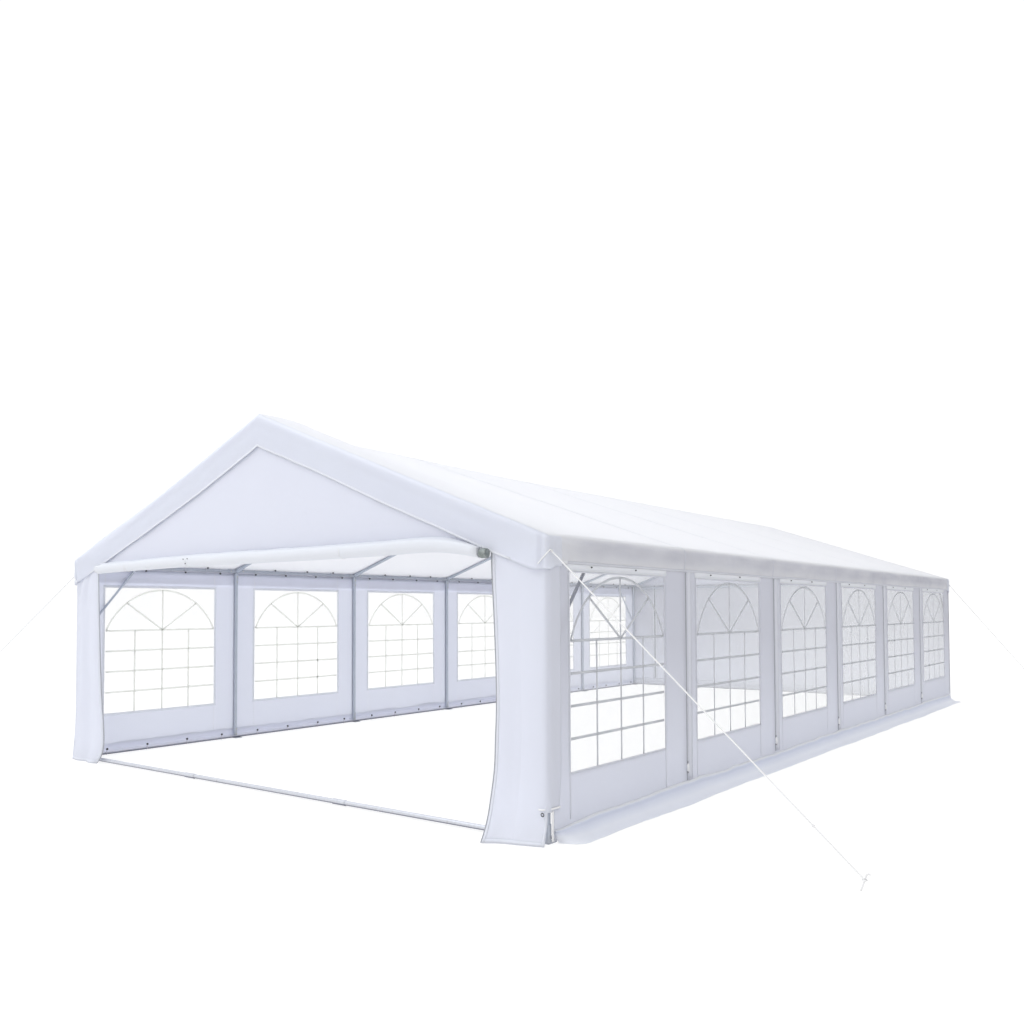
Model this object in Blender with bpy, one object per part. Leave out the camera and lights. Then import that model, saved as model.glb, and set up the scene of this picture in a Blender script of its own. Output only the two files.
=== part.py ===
"""Event tent, 6 m by 12 m, at its real size: a tube frame of seven portals with a one-piece roof
cover, window walls along both sides, a closed rear wall and an open front with its door rolled up.

Run with: blender --background --python part.py

Metres, +Z up. The origin is on the ground at the middle of the plan. The open front faces -Y, the
long sides face -X and +X. Every piece is its own object, and meeting pieces keep a gap of 0.3 mm.
"""

import math

import bmesh
import bpy
from mathutils import Matrix, Vector

# Driving dimensions
BAY = 2.0  # spacing of the portals along the tent
BAYS = 6
HALF_LENGTH = BAY * BAYS / 2  # post centre to the middle of the plan
HALF_WIDTH = 3.0
EAVE_Z = 2.04  # centre line of the eave rails
RIDGE_Z = 3.07  # centre line of the ridge beam
FRONT_LIFT = 0.165  # the roof sheet stands this much higher at the front of its ridge
ROOF_LIFTS = ((0.0, FRONT_LIFT), (0.52, FRONT_LIFT), (0.93, 0.055), (3.60, 0.0))  # (from the front, lift)
GAP = 0.0003  # kept between pieces that meet

# Tubes
TUBE_R = 0.019
SLEEVE_R = 0.023
SLEEVE_HALF = 0.12  # half the length of a connector sleeve on a rail
JOINT_HALF = 0.07  # half the length of a plain joint sleeve
END_SLEEVE = 0.13  # length of the sleeve at the end of a post or rafter
BRACE_R = 0.0125
RIDGE_STOP = 0.0185  # a rafter's end, from the centre line of the ridge beam
SIDES = 12

# Feet and ground bars
PLATE = (0.10, 0.10, 0.006)
PLATE_SHIFT = 0.028  # the plates reach inwards, so that the walls hang clear of them
GROUND_TUBE_Z = 0.030
SIDE_BAR_R = 0.0125

# Heads and braces
HEADER_Z = 2.00
BRACE_DROP = 0.78  # down the post from the eave rail
BRACE_RUN = 0.66  # along the eave rail from the post

# Fabric, which is modelled thicker than the real sheet
SHEET = 0.005
FILM = 0.003
SIDE_PLANE = HALF_WIDTH + SLEEVE_R + 2 * GAP  # inner face of the side walls
END_PLANE = HALF_LENGTH + SLEEVE_R + 4 * GAP  # inner face of gables, curtains and rear wall
WRAP_PLANE = SIDE_PLANE + SHEET + 5 * GAP  # inner face of a curtain where it turns the corner
VALANCE_PLANE = WRAP_PLANE + SHEET + 5 * GAP  # inner face of the eave valances
RAKE_PLANE = END_PLANE + SHEET + 4 * GAP  # inner face of the rake flaps
VALANCE_Z = 1.865  # lower edge of the eave valances
RAKE_DROP = 0.297  # plumb depth of the rake flaps
RAKE_FOOT_Z = 1.81  # lower edge of the rake flaps at the corners
GABLE_FOOT_Z = 2.05  # lower edge of the gable panels

# Windows
WINDOW_WIDTH = 1.40
WINDOW_LOW = 0.44
WINDOW_HIGH = 1.81
WINDOW_SHIFT = {"left": 0.0, "right": -0.06}  # from the middle of the bay, along the tent
FILM_MARGIN = 0.03

# Skirts, curtains and rolled door
SKIRT_WIDTH = 0.19
CURTAIN_EDGE = 2.55  # inner edge of the front curtains
PANEL_EDGE = 2.98  # outer edge of their front part, below the part round the corner
CURTAIN_WRAP = 0.11  # how far a curtain turns round the corner post
WRAP_LOW = 0.20  # the part round the corner stops this high
FLARE_HEIGHT = 0.55  # below this a curtain swings outwards
FLARES = {"left": (0.05, 0.03), "right": (0.22, 0.08)}  # at the foot, at the inner and outer edge
FOOT_SHIFTS = {"left": -0.08, "right": 0.06}  # of the inner edge's foot, away from the opening
ROLL_LEFT = -2.50  # left end of the rolled door
ROLL_OUT = 0.052  # least distance of the roll's middle line from the header's face
ROLL_STATIONS = (  # (from the left end, radius, height of the underside)
    (0.0, 0.045, 1.930),
    (0.35, 0.050, 1.940),
    (1.30, 0.053, 1.950),
    (3.50, 0.053, 1.953),
    (4.45, 0.053, 1.958),
    (4.985, 0.042, 1.912),
)
CAP_R = 0.036

# Guy ropes: where each peg stands from its roof corner
ROPE_R = 0.005
ROPE_TOP_Z = 1.945
KNOT_R = 0.012
KNOT_OUT = 0.011  # middle of a knot, from the face of the eave valance
PEG_R = 0.007
PEG_TOP = 0.10
PEG_LEAN = 0.035
SIDEWAYS_STAY = (1.91, 0.19)
DIAGONAL_STAY = (1.25, -1.20)

PITCH = math.atan((RIDGE_Z - EAVE_Z) / HALF_WIDTH)
UP = Vector((0, 0, 1))
PORTALS = [-HALF_LENGTH + BAY * i for i in range(BAYS + 1)]
BAY_CENTRES = [-HALF_LENGTH + BAY * (i + 0.5) for i in range(BAYS)]
SIDE_NAMES = {"left": -1, "right": 1}
END_NAMES = {"front": -1, "rear": 1}


def clear_scene():
    """Removes every object that the file opened with."""
    for old in list(bpy.data.objects):
        bpy.data.objects.remove(old)


def make_material(name, colour, roughness, metallic=0.0, alpha=1.0):
    """A plain Principled material."""
    made = bpy.data.materials.new(name)
    made.use_nodes = True
    shader = made.node_tree.nodes["Principled BSDF"]
    shader.inputs["Base Color"].default_value = (*colour, 1.0)
    shader.inputs["Roughness"].default_value = roughness
    shader.inputs["Metallic"].default_value = metallic
    shader.inputs["Alpha"].default_value = alpha
    return made


clear_scene()
ROOF_FABRIC = make_material("roof_fabric", (0.86, 0.87, 0.91), 0.55)
WALL_FABRIC = make_material("wall_fabric", (0.80, 0.81, 0.87), 0.6)
CLEAR_FILM = make_material("clear_film", (0.92, 0.95, 0.96), 0.12, alpha=0.3)
STEEL = make_material("steel_tube", (0.52, 0.56, 0.63), 0.38, 0.7)
CAP_GREY = make_material("grey_cap", (0.33, 0.36, 0.36), 0.5, 0.4)
ROPE_WHITE = make_material("white_rope", (0.88, 0.88, 0.88), 0.8)


def add_object(name, bm, look, smooth_angle=None):
    """Puts a finished bmesh in the scene as a named object."""
    bmesh.ops.recalc_face_normals(bm, faces=bm.faces)
    mesh = bpy.data.meshes.new(name)
    bm.to_mesh(mesh)
    bm.free()
    mesh.materials.append(look)
    if smooth_angle is not None:
        mesh.shade_smooth()
        mesh.set_sharp_from_angle(angle=math.radians(smooth_angle))
    made = bpy.data.objects.new(name, mesh)
    bpy.context.scene.collection.objects.link(made)
    return made


def axis_matrix(start, end, towards):
    """Turns local +Z to run from start to end, and local +X as near to towards as it can."""
    along = (end - start).normalized()
    side = (towards - along * towards.dot(along)).normalized()
    turn = Matrix((side, along.cross(side), along)).transposed().to_4x4()
    return Matrix.Translation(start) @ turn


def sleeved(length, radius, sleeves):
    """Profile of a tube as (distance, radius) steps, with a thicker sleeve at each (from, to)."""
    steps = [(0.0, radius)]
    for low, high in sleeves:
        if low > 0:
            steps += [(low, radius), (low, SLEEVE_R)]
        else:
            steps = [(0.0, SLEEVE_R)]
        steps.append((min(high, length), SLEEVE_R))
        if high < length:
            steps.append((high, radius))
    if steps[-1][0] < length:
        steps.append((length, radius))
    return steps


def turned_bmesh(profile, sides=SIDES):
    """A solid of revolution about +Z from (distance, radius) steps."""
    bm = bmesh.new()
    ends = [(profile[0][0], 0.0), *profile, (profile[-1][0], 0.0)]
    points = [bm.verts.new((radius, 0, distance)) for distance, radius in ends]
    edges = [bm.edges.new(pair) for pair in zip(points, points[1:])]
    bmesh.ops.spin(
        bm,
        geom=points + edges,
        cent=(0, 0, 0),
        axis=(0, 0, 1),
        angle=math.tau,
        steps=sides,
        use_merge=True,
    )
    bmesh.ops.remove_doubles(bm, verts=bm.verts, dist=1e-5)
    return bm


def turned(name, start, end, towards, profile, look, sides=SIDES):
    """A turned piece whose axis runs from start to end."""
    bm = turned_bmesh(profile, sides)
    bmesh.ops.transform(bm, matrix=axis_matrix(Vector(start), Vector(end), towards), verts=bm.verts)
    return add_object(name, bm, look, 40)


def tube(name, start, end, towards, look=STEEL, radius=TUBE_R, sleeves=()):
    """A straight tube, with sleeves given as (from, to) distances along it."""
    length = (Vector(end) - Vector(start)).length
    return turned(name, start, end, towards, sleeved(length, radius, sleeves), look)


def slab(name, outline, push, look):
    """A flat outline of 3D points, made solid by pushing it along one vector."""
    bm = bmesh.new()
    face = bm.faces.new([bm.verts.new(point) for point in outline])
    pushed = bmesh.ops.extrude_face_region(bm, geom=[face])["geom"]
    moved = [part for part in pushed if isinstance(part, bmesh.types.BMVert)]
    bmesh.ops.translate(bm, vec=push, verts=moved)
    return add_object(name, bm, look)


def lofted(name, outlines, look):
    """A solid through a row of like outlines."""
    bm = bmesh.new()
    rings = [[bm.verts.new(point) for point in outline] for outline in outlines]
    bm.faces.new(rings[0])
    bm.faces.new(rings[-1])
    for ring, following in zip(rings, rings[1:]):
        for i in range(len(ring)):
            bm.faces.new((ring[i - 1], ring[i], following[i], following[i - 1]))
    return add_object(name, bm, look)


def box_into(bm, low, high):
    """Adds an axis-aligned box between two corners."""
    size = [b - a for a, b in zip(low, high)]
    middle = [(a + b) / 2 for a, b in zip(low, high)]
    matrix = Matrix.Translation(middle) @ Matrix.Diagonal((*size, 1))
    bmesh.ops.create_cube(bm, size=1, matrix=matrix)


def hide_cutter(cutter):
    """Keeps a helper out of the model."""
    cutter.hide_render = True
    cutter.display_type = "WIRE"
    return cutter


def cutter_tube(name, start, end, towards, radius):
    """A helper one gap larger than the tube that another piece meets."""
    return hide_cutter(tube(name, start, end, towards, radius=radius + GAP))


def add_boolean(piece, other, operation="DIFFERENCE"):
    """Cuts a piece with a helper, or joins the helper to it."""
    made = piece.modifiers.new(f"{operation.lower()}_{other.name}", "BOOLEAN")
    made.object = other
    made.operation = operation
    made.solver = "EXACT"


OVERRUN = 0.3  # helpers run this far past the tent
EAVE_CUTTERS = {}
EAVE_TUBE_CUTTERS = {}
for side_name, side in SIDE_NAMES.items():
    ends = [(side * HALF_WIDTH, end * (HALF_LENGTH + OVERRUN), EAVE_Z) for end in (-1, 1)]
    EAVE_CUTTERS[side] = cutter_tube(f"cutter_eave_{side_name}", *ends, UP, SLEEVE_R)
    EAVE_TUBE_CUTTERS[side] = cutter_tube(f"cutter_eave_tube_{side_name}", *ends, UP, TUBE_R)
RIDGE_CUTTER = cutter_tube(
    "cutter_ridge",
    (0, -HALF_LENGTH - OVERRUN, RIDGE_Z),
    (0, HALF_LENGTH + OVERRUN, RIDGE_Z),
    UP,
    SLEEVE_R,
)
CORNERS = {
    (side, end): f"{end_name}_{side_name}"
    for end_name, end in END_NAMES.items()
    for side_name, side in SIDE_NAMES.items()
}
CORNER_CUTTERS = {}
CORNER_TUBE_CUTTERS = {}
for (side, end), corner in CORNERS.items():
    foot = (side * HALF_WIDTH, end * HALF_LENGTH, -OVERRUN)
    head = (side * HALF_WIDTH, end * HALF_LENGTH, EAVE_Z + OVERRUN)
    CORNER_CUTTERS[side, end] = cutter_tube(f"cutter_{corner}", foot, head, Vector((1, 0, 0)), SLEEVE_R)
    CORNER_TUBE_CUTTERS[side, end] = cutter_tube(
        f"cutter_tube_{corner}", foot, head, Vector((1, 0, 0)), TUBE_R
    )


def make_post(side_name, side, number, y):
    """A post with its foot plate, a foot sleeve and the connector socket under the eave rail."""
    top = EAVE_Z - SLEEVE_R + 2 * GAP
    profile = sleeved(top, TUBE_R, [(0, END_SLEEVE), (top - END_SLEEVE, top)])
    bm = turned_bmesh([(max(distance, PLATE[2] / 2), radius) for distance, radius in profile])
    bmesh.ops.translate(bm, vec=(side * HALF_WIDTH, y, 0), verts=bm.verts)
    post = add_object(f"post_{side_name}_{number}", bm, STEEL, 40)
    plate_bm = bmesh.new()
    inwards = -math.copysign(PLATE_SHIFT, y) if abs(y) == HALF_LENGTH else 0.0
    middle = (side * (HALF_WIDTH - PLATE_SHIFT), y + inwards)
    low = (middle[0] - PLATE[0] / 2, middle[1] - PLATE[1] / 2, 0)
    high = (middle[0] + PLATE[0] / 2, middle[1] + PLATE[1] / 2, PLATE[2])
    box_into(plate_bm, low, high)
    plate = hide_cutter(add_object(f"plate_{side_name}_{number}", plate_bm, STEEL))
    add_boolean(post, plate, "UNION")
    add_boolean(post, EAVE_CUTTERS[side])


def make_rafter(side_name, side, number, y):
    """A rafter with a socket at each end, shaped to the eave rail and the ridge beam."""
    low = Vector((side * HALF_WIDTH, y, EAVE_Z))
    high = Vector((0, y, RIDGE_Z))
    along = (high - low).normalized()
    start = low + along * (SLEEVE_R - 0.004)
    # Each rafter stops just inside the ridge beam's sleeve, which then shapes its end.
    end = high - along * RIDGE_STOP
    length = (end - start).length
    rafter = tube(
        f"rafter_{side_name}_{number}",
        start,
        end,
        Vector((side * math.sin(PITCH), 0, math.cos(PITCH))),
        sleeves=[(0, END_SLEEVE), (length - END_SLEEVE, length)],
    )
    add_boolean(rafter, EAVE_CUTTERS[side])
    add_boolean(rafter, RIDGE_CUTTER)


def make_long_tubes():
    """Eave rails and ridge beam, each with a connector sleeve at every portal."""
    run = HALF_LENGTH + SLEEVE_R - GAP
    sleeves = []
    for y in PORTALS:
        middle = y + run
        sleeves.append((max(middle - SLEEVE_HALF, 0), min(middle + SLEEVE_HALF, 2 * run)))
    for side_name, side in SIDE_NAMES.items():
        ends = [(side * HALF_WIDTH, end * run, EAVE_Z) for end in (-1, 1)]
        tube(f"eave_rail_{side_name}", *ends, UP, sleeves=sleeves)
    tube("ridge_beam", (0, -run, RIDGE_Z), (0, run, RIDGE_Z), UP, sleeves=sleeves)


def make_cross_tubes():
    """Header and ground bar across each end, in three lengths with two joint sleeves."""
    joints = [(2 * HALF_WIDTH * i / 3 - JOINT_HALF, 2 * HALF_WIDTH * i / 3 + JOINT_HALF) for i in (1, 2)]
    for end_name, end in END_NAMES.items():
        for name, z in ((f"header_{end_name}", HEADER_Z), (f"ground_bar_{end_name}", GROUND_TUBE_Z)):
            ends = [(side * HALF_WIDTH, end * HALF_LENGTH, z) for side in (-1, 1)]
            made = tube(name, *ends, UP, sleeves=joints)
            for side in (-1, 1):
                add_boolean(made, CORNER_CUTTERS[side, end])


def make_side_bars():
    """Thin ground bars along the sides, on the foot plates and against the posts."""
    out = HALF_WIDTH - SLEEVE_R - GAP - SIDE_BAR_R
    z = PLATE[2] + GAP + SIDE_BAR_R
    reach = HALF_LENGTH - SLEEVE_R - 0.005
    for side_name, side in SIDE_NAMES.items():
        ends = [(side * out, end * reach, z) for end in (-1, 1)]
        tube(f"ground_bar_{side_name}", *ends, UP, radius=SIDE_BAR_R)


def make_braces():
    """A diagonal brace from each corner post to its eave rail."""
    for (side, end), corner in CORNERS.items():
        low = (side * HALF_WIDTH, end * HALF_LENGTH, EAVE_Z - BRACE_DROP)
        high = (side * HALF_WIDTH, end * (HALF_LENGTH - BRACE_RUN), EAVE_Z)
        brace = tube(f"brace_{corner}", low, high, Vector((1, 0, 0)), radius=BRACE_R)
        add_boolean(brace, CORNER_TUBE_CUTTERS[side, end])
        add_boolean(brace, EAVE_TUBE_CUTTERS[side])


def roof_slope(lift=0.0):
    """Fall per metre of a roof slope whose ridge is raised by lift."""
    return (RIDGE_Z + lift - EAVE_Z) / HALF_WIDTH


def roof_line(x, rise, lift=0.0):
    """Height of a line that lies rise (measured square to the slope) over the rafters' centres."""
    slope = roof_slope(lift)
    return RIDGE_Z + lift + rise * math.hypot(1, slope) - slope * abs(x)


ROOF_IN = SLEEVE_R + GAP
ROOF_OUT = ROOF_IN + SHEET
ROOF_HALF_WIDTH = VALANCE_PLANE + SHEET
ROOF_HALF_LENGTH = RAKE_PLANE + SHEET


def roof_section(y, lift):
    """Outline of the roof sheet and its valances at one place along the tent."""
    wide, inner = ROOF_HALF_WIDTH, VALANCE_PLANE
    right_out = [(wide, VALANCE_Z), (wide, roof_line(wide, ROOF_OUT, lift))]
    right_in = [(inner, VALANCE_Z), (inner, roof_line(inner, ROOF_IN, lift))]
    section = [
        *right_out,
        (0, roof_line(0, ROOF_OUT, lift)),
        *[(-x, z) for x, z in reversed(right_out)],
        *[(-x, z) for x, z in right_in],
        (0, roof_line(0, ROOF_IN, lift)),
        *reversed(right_in),
    ]
    return [(x, y, z) for x, z in section]


def make_roof_cover():
    """The roof sheet over both slopes, with its raised front and the valances over the eaves."""
    stations = [(distance - ROOF_HALF_LENGTH, lift) for distance, lift in ROOF_LIFTS]
    stations.append((ROOF_HALF_LENGTH, 0.0))
    lofted("roof_cover", [roof_section(y, lift) for y, lift in stations], ROOF_FABRIC)


def rake_edges(wide, under, extra, lift):
    """Upper and lower edge of a rake flap, whose lower edge runs level at the corners."""
    top = roof_line(0, under, lift)
    eave = roof_line(wide, under, lift)
    drop = RAKE_DROP + extra
    level = RAKE_FOOT_Z - extra
    turn = (top - drop - level) / roof_slope(lift)
    upper = [(-wide, eave), (0, top), (wide, eave)]
    lower = [(wide, level), (turn, level), (0, top - drop), (-turn, level), (-wide, level)]
    return upper, lower


def make_gable(end_name, end):
    """The gable panel, joined to the rake flap of the roof that hangs in front of it."""
    under = ROOF_IN - 2 * GAP
    lift = FRONT_LIFT if end < 0 else 0.0
    foot = (roof_line(0, under, lift) - GABLE_FOOT_Z) / roof_slope(lift)
    foot = min(foot, WRAP_PLANE - GAP)
    corner = max(roof_line(foot, under, lift), GABLE_FOOT_Z + GAP)
    panel_outline = [
        (-foot, GABLE_FOOT_Z),
        (foot, GABLE_FOOT_Z),
        (foot, corner),
        (0, roof_line(0, under, lift)),
        (-foot, corner),
    ]
    panel_outline = [(x, end * END_PLANE, z) for x, z in panel_outline]
    panel = slab(f"{end_name}_gable", panel_outline, (0, end * (SHEET + 6 * GAP), 0), ROOF_FABRIC)
    upper, lower = rake_edges(VALANCE_PLANE - GAP, under, 0.0, lift)
    flap_outline = [(x, end * RAKE_PLANE, z) for x, z in upper + lower]
    flap = hide_cutter(slab(f"rake_flap_{end_name}", flap_outline, (0, end * SHEET, 0), ROOF_FABRIC))
    add_boolean(panel, flap, "UNION")


def make_window_cutter(side_name, side):
    """Six boxes that cut the windows of one side wall."""
    bm = bmesh.new()
    across = sorted((side * (SIDE_PLANE - OVERRUN), side * (SIDE_PLANE + OVERRUN)))
    for centre in BAY_CENTRES:
        y = centre + WINDOW_SHIFT[side_name]
        low = (across[0], y - WINDOW_WIDTH / 2, WINDOW_LOW)
        high = (across[1], y + WINDOW_WIDTH / 2, WINDOW_HIGH)
        box_into(bm, low, high)
    return hide_cutter(add_object(f"cutter_windows_{side_name}", bm, CLEAR_FILM))


def upright_sheet(name, side, inner_x, thickness, y_range, z_range, look):
    """A flat vertical sheet along one side."""
    corners = [(y_range[0], z_range[0]), (y_range[1], z_range[0])]
    corners += [(y_range[1], z_range[1]), (y_range[0], z_range[1])]
    outline = [(side * inner_x, y, z) for y, z in corners]
    return slab(name, outline, (side * thickness, 0, 0), look)


def make_side_walls():
    """Window walls, the clear film behind their windows, and the skirts on the ground."""
    wall_end = HALF_LENGTH + SLEEVE_R - 0.006
    film_end = BAY_CENTRES[-1] + WINDOW_WIDTH / 2 + FILM_MARGIN
    film_z = (WINDOW_LOW - FILM_MARGIN, WINDOW_HIGH + FILM_MARGIN)
    for side_name, side in SIDE_NAMES.items():
        wall = upright_sheet(
            f"wall_{side_name}",
            side,
            SIDE_PLANE,
            SHEET,
            (-wall_end, wall_end),
            (SHEET + GAP, EAVE_Z - 0.03),
            WALL_FABRIC,
        )
        add_boolean(wall, make_window_cutter(side_name, side))
        shift = WINDOW_SHIFT[side_name]
        upright_sheet(
            f"window_film_{side_name}",
            side,
            SIDE_PLANE - GAP - FILM,
            FILM,
            (shift - film_end, shift + film_end),
            film_z,
            CLEAR_FILM,
        )
        skirt_bm = bmesh.new()
        across = sorted((side * SIDE_PLANE, side * (SIDE_PLANE + SKIRT_WIDTH)))
        skirt_end = HALF_LENGTH - 0.04
        box_into(skirt_bm, (across[0], -skirt_end, 0), (across[1], skirt_end, SHEET))
        add_object(f"skirt_{side_name}", skirt_bm, WALL_FABRIC)


def make_rear_wall():
    """The closed rear wall with its skirt turned out along the ground."""
    wide = WRAP_PLANE - GAP
    top = GABLE_FOOT_Z - GAP
    section = [
        (END_PLANE, top),
        (END_PLANE, 0),
        (END_PLANE + SKIRT_WIDTH, 0),
        (END_PLANE + SKIRT_WIDTH, SHEET),
        (END_PLANE + SHEET, SHEET),
        (END_PLANE + SHEET, top),
    ]
    slab("rear_wall", [(-wide, y, z) for y, z in section], (2 * wide, 0, 0), WALL_FABRIC)


def flared(side_name, x, y, z):
    """A point of a front curtain once it has swung out below FLARE_HEIGHT, most at its inner edge."""
    share = max(0.0, 1 - z / FLARE_HEIGHT) ** 2
    inner = min(1.0, max(0.0, (HALF_WIDTH - x) / (HALF_WIDTH - CURTAIN_EDGE)))
    most, least = FLARES[side_name]
    swing = least + (most - least) * inner
    side = SIDE_NAMES[side_name]
    return (side * (x + FOOT_SHIFTS[side_name] * share * inner), -(y + swing * share), z)


def make_curtain(side_name):
    """A front curtain: a strip beside the opening that turns the corner and swings out at its foot."""
    mid = SHEET / 2
    front = END_PLANE + mid
    wrap = WRAP_PLANE + mid
    radius = 0.012
    plan = [(CURTAIN_EDGE, front), (CURTAIN_EDGE + 0.15, front), (CURTAIN_EDGE + 0.30, front)]
    plan.append((PANEL_EDGE, front))
    for step in range(4):
        angle = math.radians(30 * step)
        plan.append((wrap - radius + radius * math.sin(angle), front - radius + radius * math.cos(angle)))
    plan.append((wrap, front - CURTAIN_WRAP))
    turn = plan.index((PANEL_EDGE, front))
    levels = [mid, 0.08, WRAP_LOW, 0.30, 0.42, FLARE_HEIGHT, GABLE_FOOT_Z - GAP]
    bm = bmesh.new()
    rows = []
    for z in levels:
        rows.append([bm.verts.new(flared(side_name, x, y, z)) for x, y in plan])
    for low, high, z in zip(rows, rows[1:], levels):
        for i in range(len(plan) - 1):
            if z < WRAP_LOW and i >= turn:
                continue
            bm.faces.new((low[i], low[i + 1], high[i + 1], high[i]))
    loose = [v for v in bm.verts if not v.link_faces]
    bmesh.ops.delete(bm, geom=loose, context="VERTS")
    bmesh.ops.recalc_face_normals(bm, faces=bm.faces)
    curtain = add_object(f"front_curtain_{side_name}", bm, WALL_FABRIC)
    thick = curtain.modifiers.new("sheet", "SOLIDIFY")
    thick.thickness = SHEET
    thick.offset = 0.0


def make_rolled_door():
    """The front door rolled up on its pole against the header, with the cap on the pole's end."""
    station_at = {round(distance, 3): (radius, foot) for distance, radius, foot in ROLL_STATIONS}
    bm = turned_bmesh([(distance, radius) for distance, radius, _ in ROLL_STATIONS])
    # The roll lies against the header, and its underside follows the stations.
    for vertex in bm.verts:
        radius, foot = station_at[round(vertex.co.z, 3)]
        vertex.co.x += foot + radius
        vertex.co.y += max(radius, ROLL_OUT)
    back = -(HALF_LENGTH + SLEEVE_R + GAP)
    start = Vector((ROLL_LEFT, back, 0))
    bmesh.ops.transform(bm, matrix=axis_matrix(start, start + Vector((1, 0, 0)), UP), verts=bm.verts)
    roll = add_object("rolled_door", bm, ROOF_FABRIC, 40)
    upper, lower = rake_edges(ROOF_HALF_WIDTH, ROOF_IN, 4 * GAP, FRONT_LIFT)
    outline = [(x, -RAKE_PLANE + GAP, z) for x, z in upper + lower]
    flap = hide_cutter(slab("cutter_rake_flap", outline, (0, -OVERRUN, 0), ROOF_FABRIC))
    add_boolean(roll, flap)
    cap = [(0, CAP_R * 0.8), (0.012, CAP_R), (0.048, CAP_R), (0.062, CAP_R * 0.7)]
    length, radius, foot = ROLL_STATIONS[-1]
    start = Vector((ROLL_LEFT + length + GAP, back - ROLL_OUT, foot + radius))
    turned("roll_pole_cap", start, start + Vector((0.062, 0, 0)), UP, cap, CAP_GREY)


def make_guy_rope(corner, side, end, stay):
    """A taut guy rope with its knot on the roof corner and its peg in the ground, as one piece."""
    out, back = stay
    top = Vector((side * (ROOF_HALF_WIDTH + KNOT_OUT), end * (ROOF_HALF_LENGTH - 0.02), ROPE_TOP_Z))
    foot = Vector((top.x + side * out, top.y - end * back, 0))
    away = Vector((foot.x - top.x, foot.y - top.y, 0)).normalized()
    peg_top = foot + away * PEG_LEAN + UP * PEG_TOP
    hold = foot + (peg_top - foot) * 0.7
    rope = turned(
        f"guy_rope_{corner}",
        top,
        hold,
        UP,
        [(0, ROPE_R), ((hold - top).length, ROPE_R)],
        ROPE_WHITE,
        sides=8,
    )
    knot_bm = bmesh.new()
    bmesh.ops.create_icosphere(
        knot_bm, subdivisions=1, radius=KNOT_R, matrix=Matrix.Translation(top)
    )
    knot = hide_cutter(add_object(f"knot_{corner}", knot_bm, ROPE_WHITE))
    below = foot - (peg_top - foot) * 0.4
    reach = (peg_top - below).length
    peg_profile = [(0, PEG_R), (reach - 0.012, PEG_R), (reach - 0.012, PEG_R * 2), (reach, PEG_R * 2)]
    peg = hide_cutter(turned(f"peg_{corner}", below, peg_top, Vector((1, 0, 0)), peg_profile, STEEL, 8))
    ground_bm = bmesh.new()
    box_into(ground_bm, (foot.x - 0.2, foot.y - 0.2, -0.2), (foot.x + 0.2, foot.y + 0.2, 0))
    ground = hide_cutter(add_object(f"cutter_ground_{corner}", ground_bm, STEEL))
    add_boolean(rope, knot, "UNION")
    add_boolean(rope, peg, "UNION")
    add_boolean(rope, ground)


def main():
    """Builds the frame, then the fabric on it, then the guy ropes."""
    for side_name, side in SIDE_NAMES.items():
        for number, y in enumerate(PORTALS, 1):
            make_post(side_name, side, number, y)
            make_rafter(side_name, side, number, y)
    make_long_tubes()
    make_cross_tubes()
    make_side_bars()
    make_braces()
    make_roof_cover()
    for end_name, end in END_NAMES.items():
        make_gable(end_name, end)
    make_side_walls()
    make_rear_wall()
    for side_name in SIDE_NAMES:
        make_curtain(side_name)
    make_rolled_door()
    for (side, end), corner in CORNERS.items():
        stay = SIDEWAYS_STAY if side * end < 0 else DIAGONAL_STAY
        make_guy_rope(corner, side, end, stay)


main()
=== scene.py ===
"""The looks of the event tent: modelled fabric, clear windows, coated tubes, ties and guy ropes.

Metres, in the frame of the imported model: +Z up, the open front faces -Y, the window walls face -X
and +X. Fabric is a thin sheet whose UV map holds the flat cloth's own coordinates in metres.
"""

import logging
import math
from collections.abc import Callable, Sequence
from dataclasses import dataclass
from enum import Enum

import bmesh
import bpy
from mathutils import Matrix, Vector, noise


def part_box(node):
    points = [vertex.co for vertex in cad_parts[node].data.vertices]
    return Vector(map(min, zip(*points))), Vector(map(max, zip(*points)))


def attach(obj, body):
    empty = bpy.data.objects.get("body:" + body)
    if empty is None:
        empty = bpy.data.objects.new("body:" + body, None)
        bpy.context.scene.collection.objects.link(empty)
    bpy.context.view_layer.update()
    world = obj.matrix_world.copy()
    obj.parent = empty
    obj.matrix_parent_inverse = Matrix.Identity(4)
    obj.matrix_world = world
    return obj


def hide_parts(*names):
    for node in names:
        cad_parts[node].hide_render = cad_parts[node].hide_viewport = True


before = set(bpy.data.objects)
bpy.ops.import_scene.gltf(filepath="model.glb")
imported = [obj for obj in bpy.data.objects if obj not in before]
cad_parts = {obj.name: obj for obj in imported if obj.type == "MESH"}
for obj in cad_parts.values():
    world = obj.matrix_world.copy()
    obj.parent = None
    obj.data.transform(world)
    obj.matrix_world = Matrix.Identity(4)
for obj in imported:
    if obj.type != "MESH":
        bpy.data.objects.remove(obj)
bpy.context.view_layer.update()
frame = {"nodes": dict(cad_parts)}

logging.basicConfig(level=logging.INFO, format="%(message)s")
log = logging.getLogger("event_tent")

Place = Callable[[float, float], Vector]
Spot = tuple[float, float]
Test = Callable[[float, float], bool]
Flat = Callable[[float, float], Spot]
Route = Callable[[float], Spot]
Curve = Sequence[Spot]
Colour = tuple[float, float, float]
Socket = bpy.types.NodeSocket
Material = bpy.types.Material
Mesh = bmesh.types.BMesh
Piece = bpy.types.Object
UP = Vector((0, 0, 1))
BOTH = (-1, 1)
FLAT_MAP = "flat"


class Face(Enum):
    """A choice between the faces of the tent."""

    @property
    def label(self) -> str:
        """The face's name as pieces use it."""
        return self.name.lower()


class Side(Face):
    """The two long sides of the tent, by the sign of X."""

    LEFT = -1
    RIGHT = 1


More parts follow.
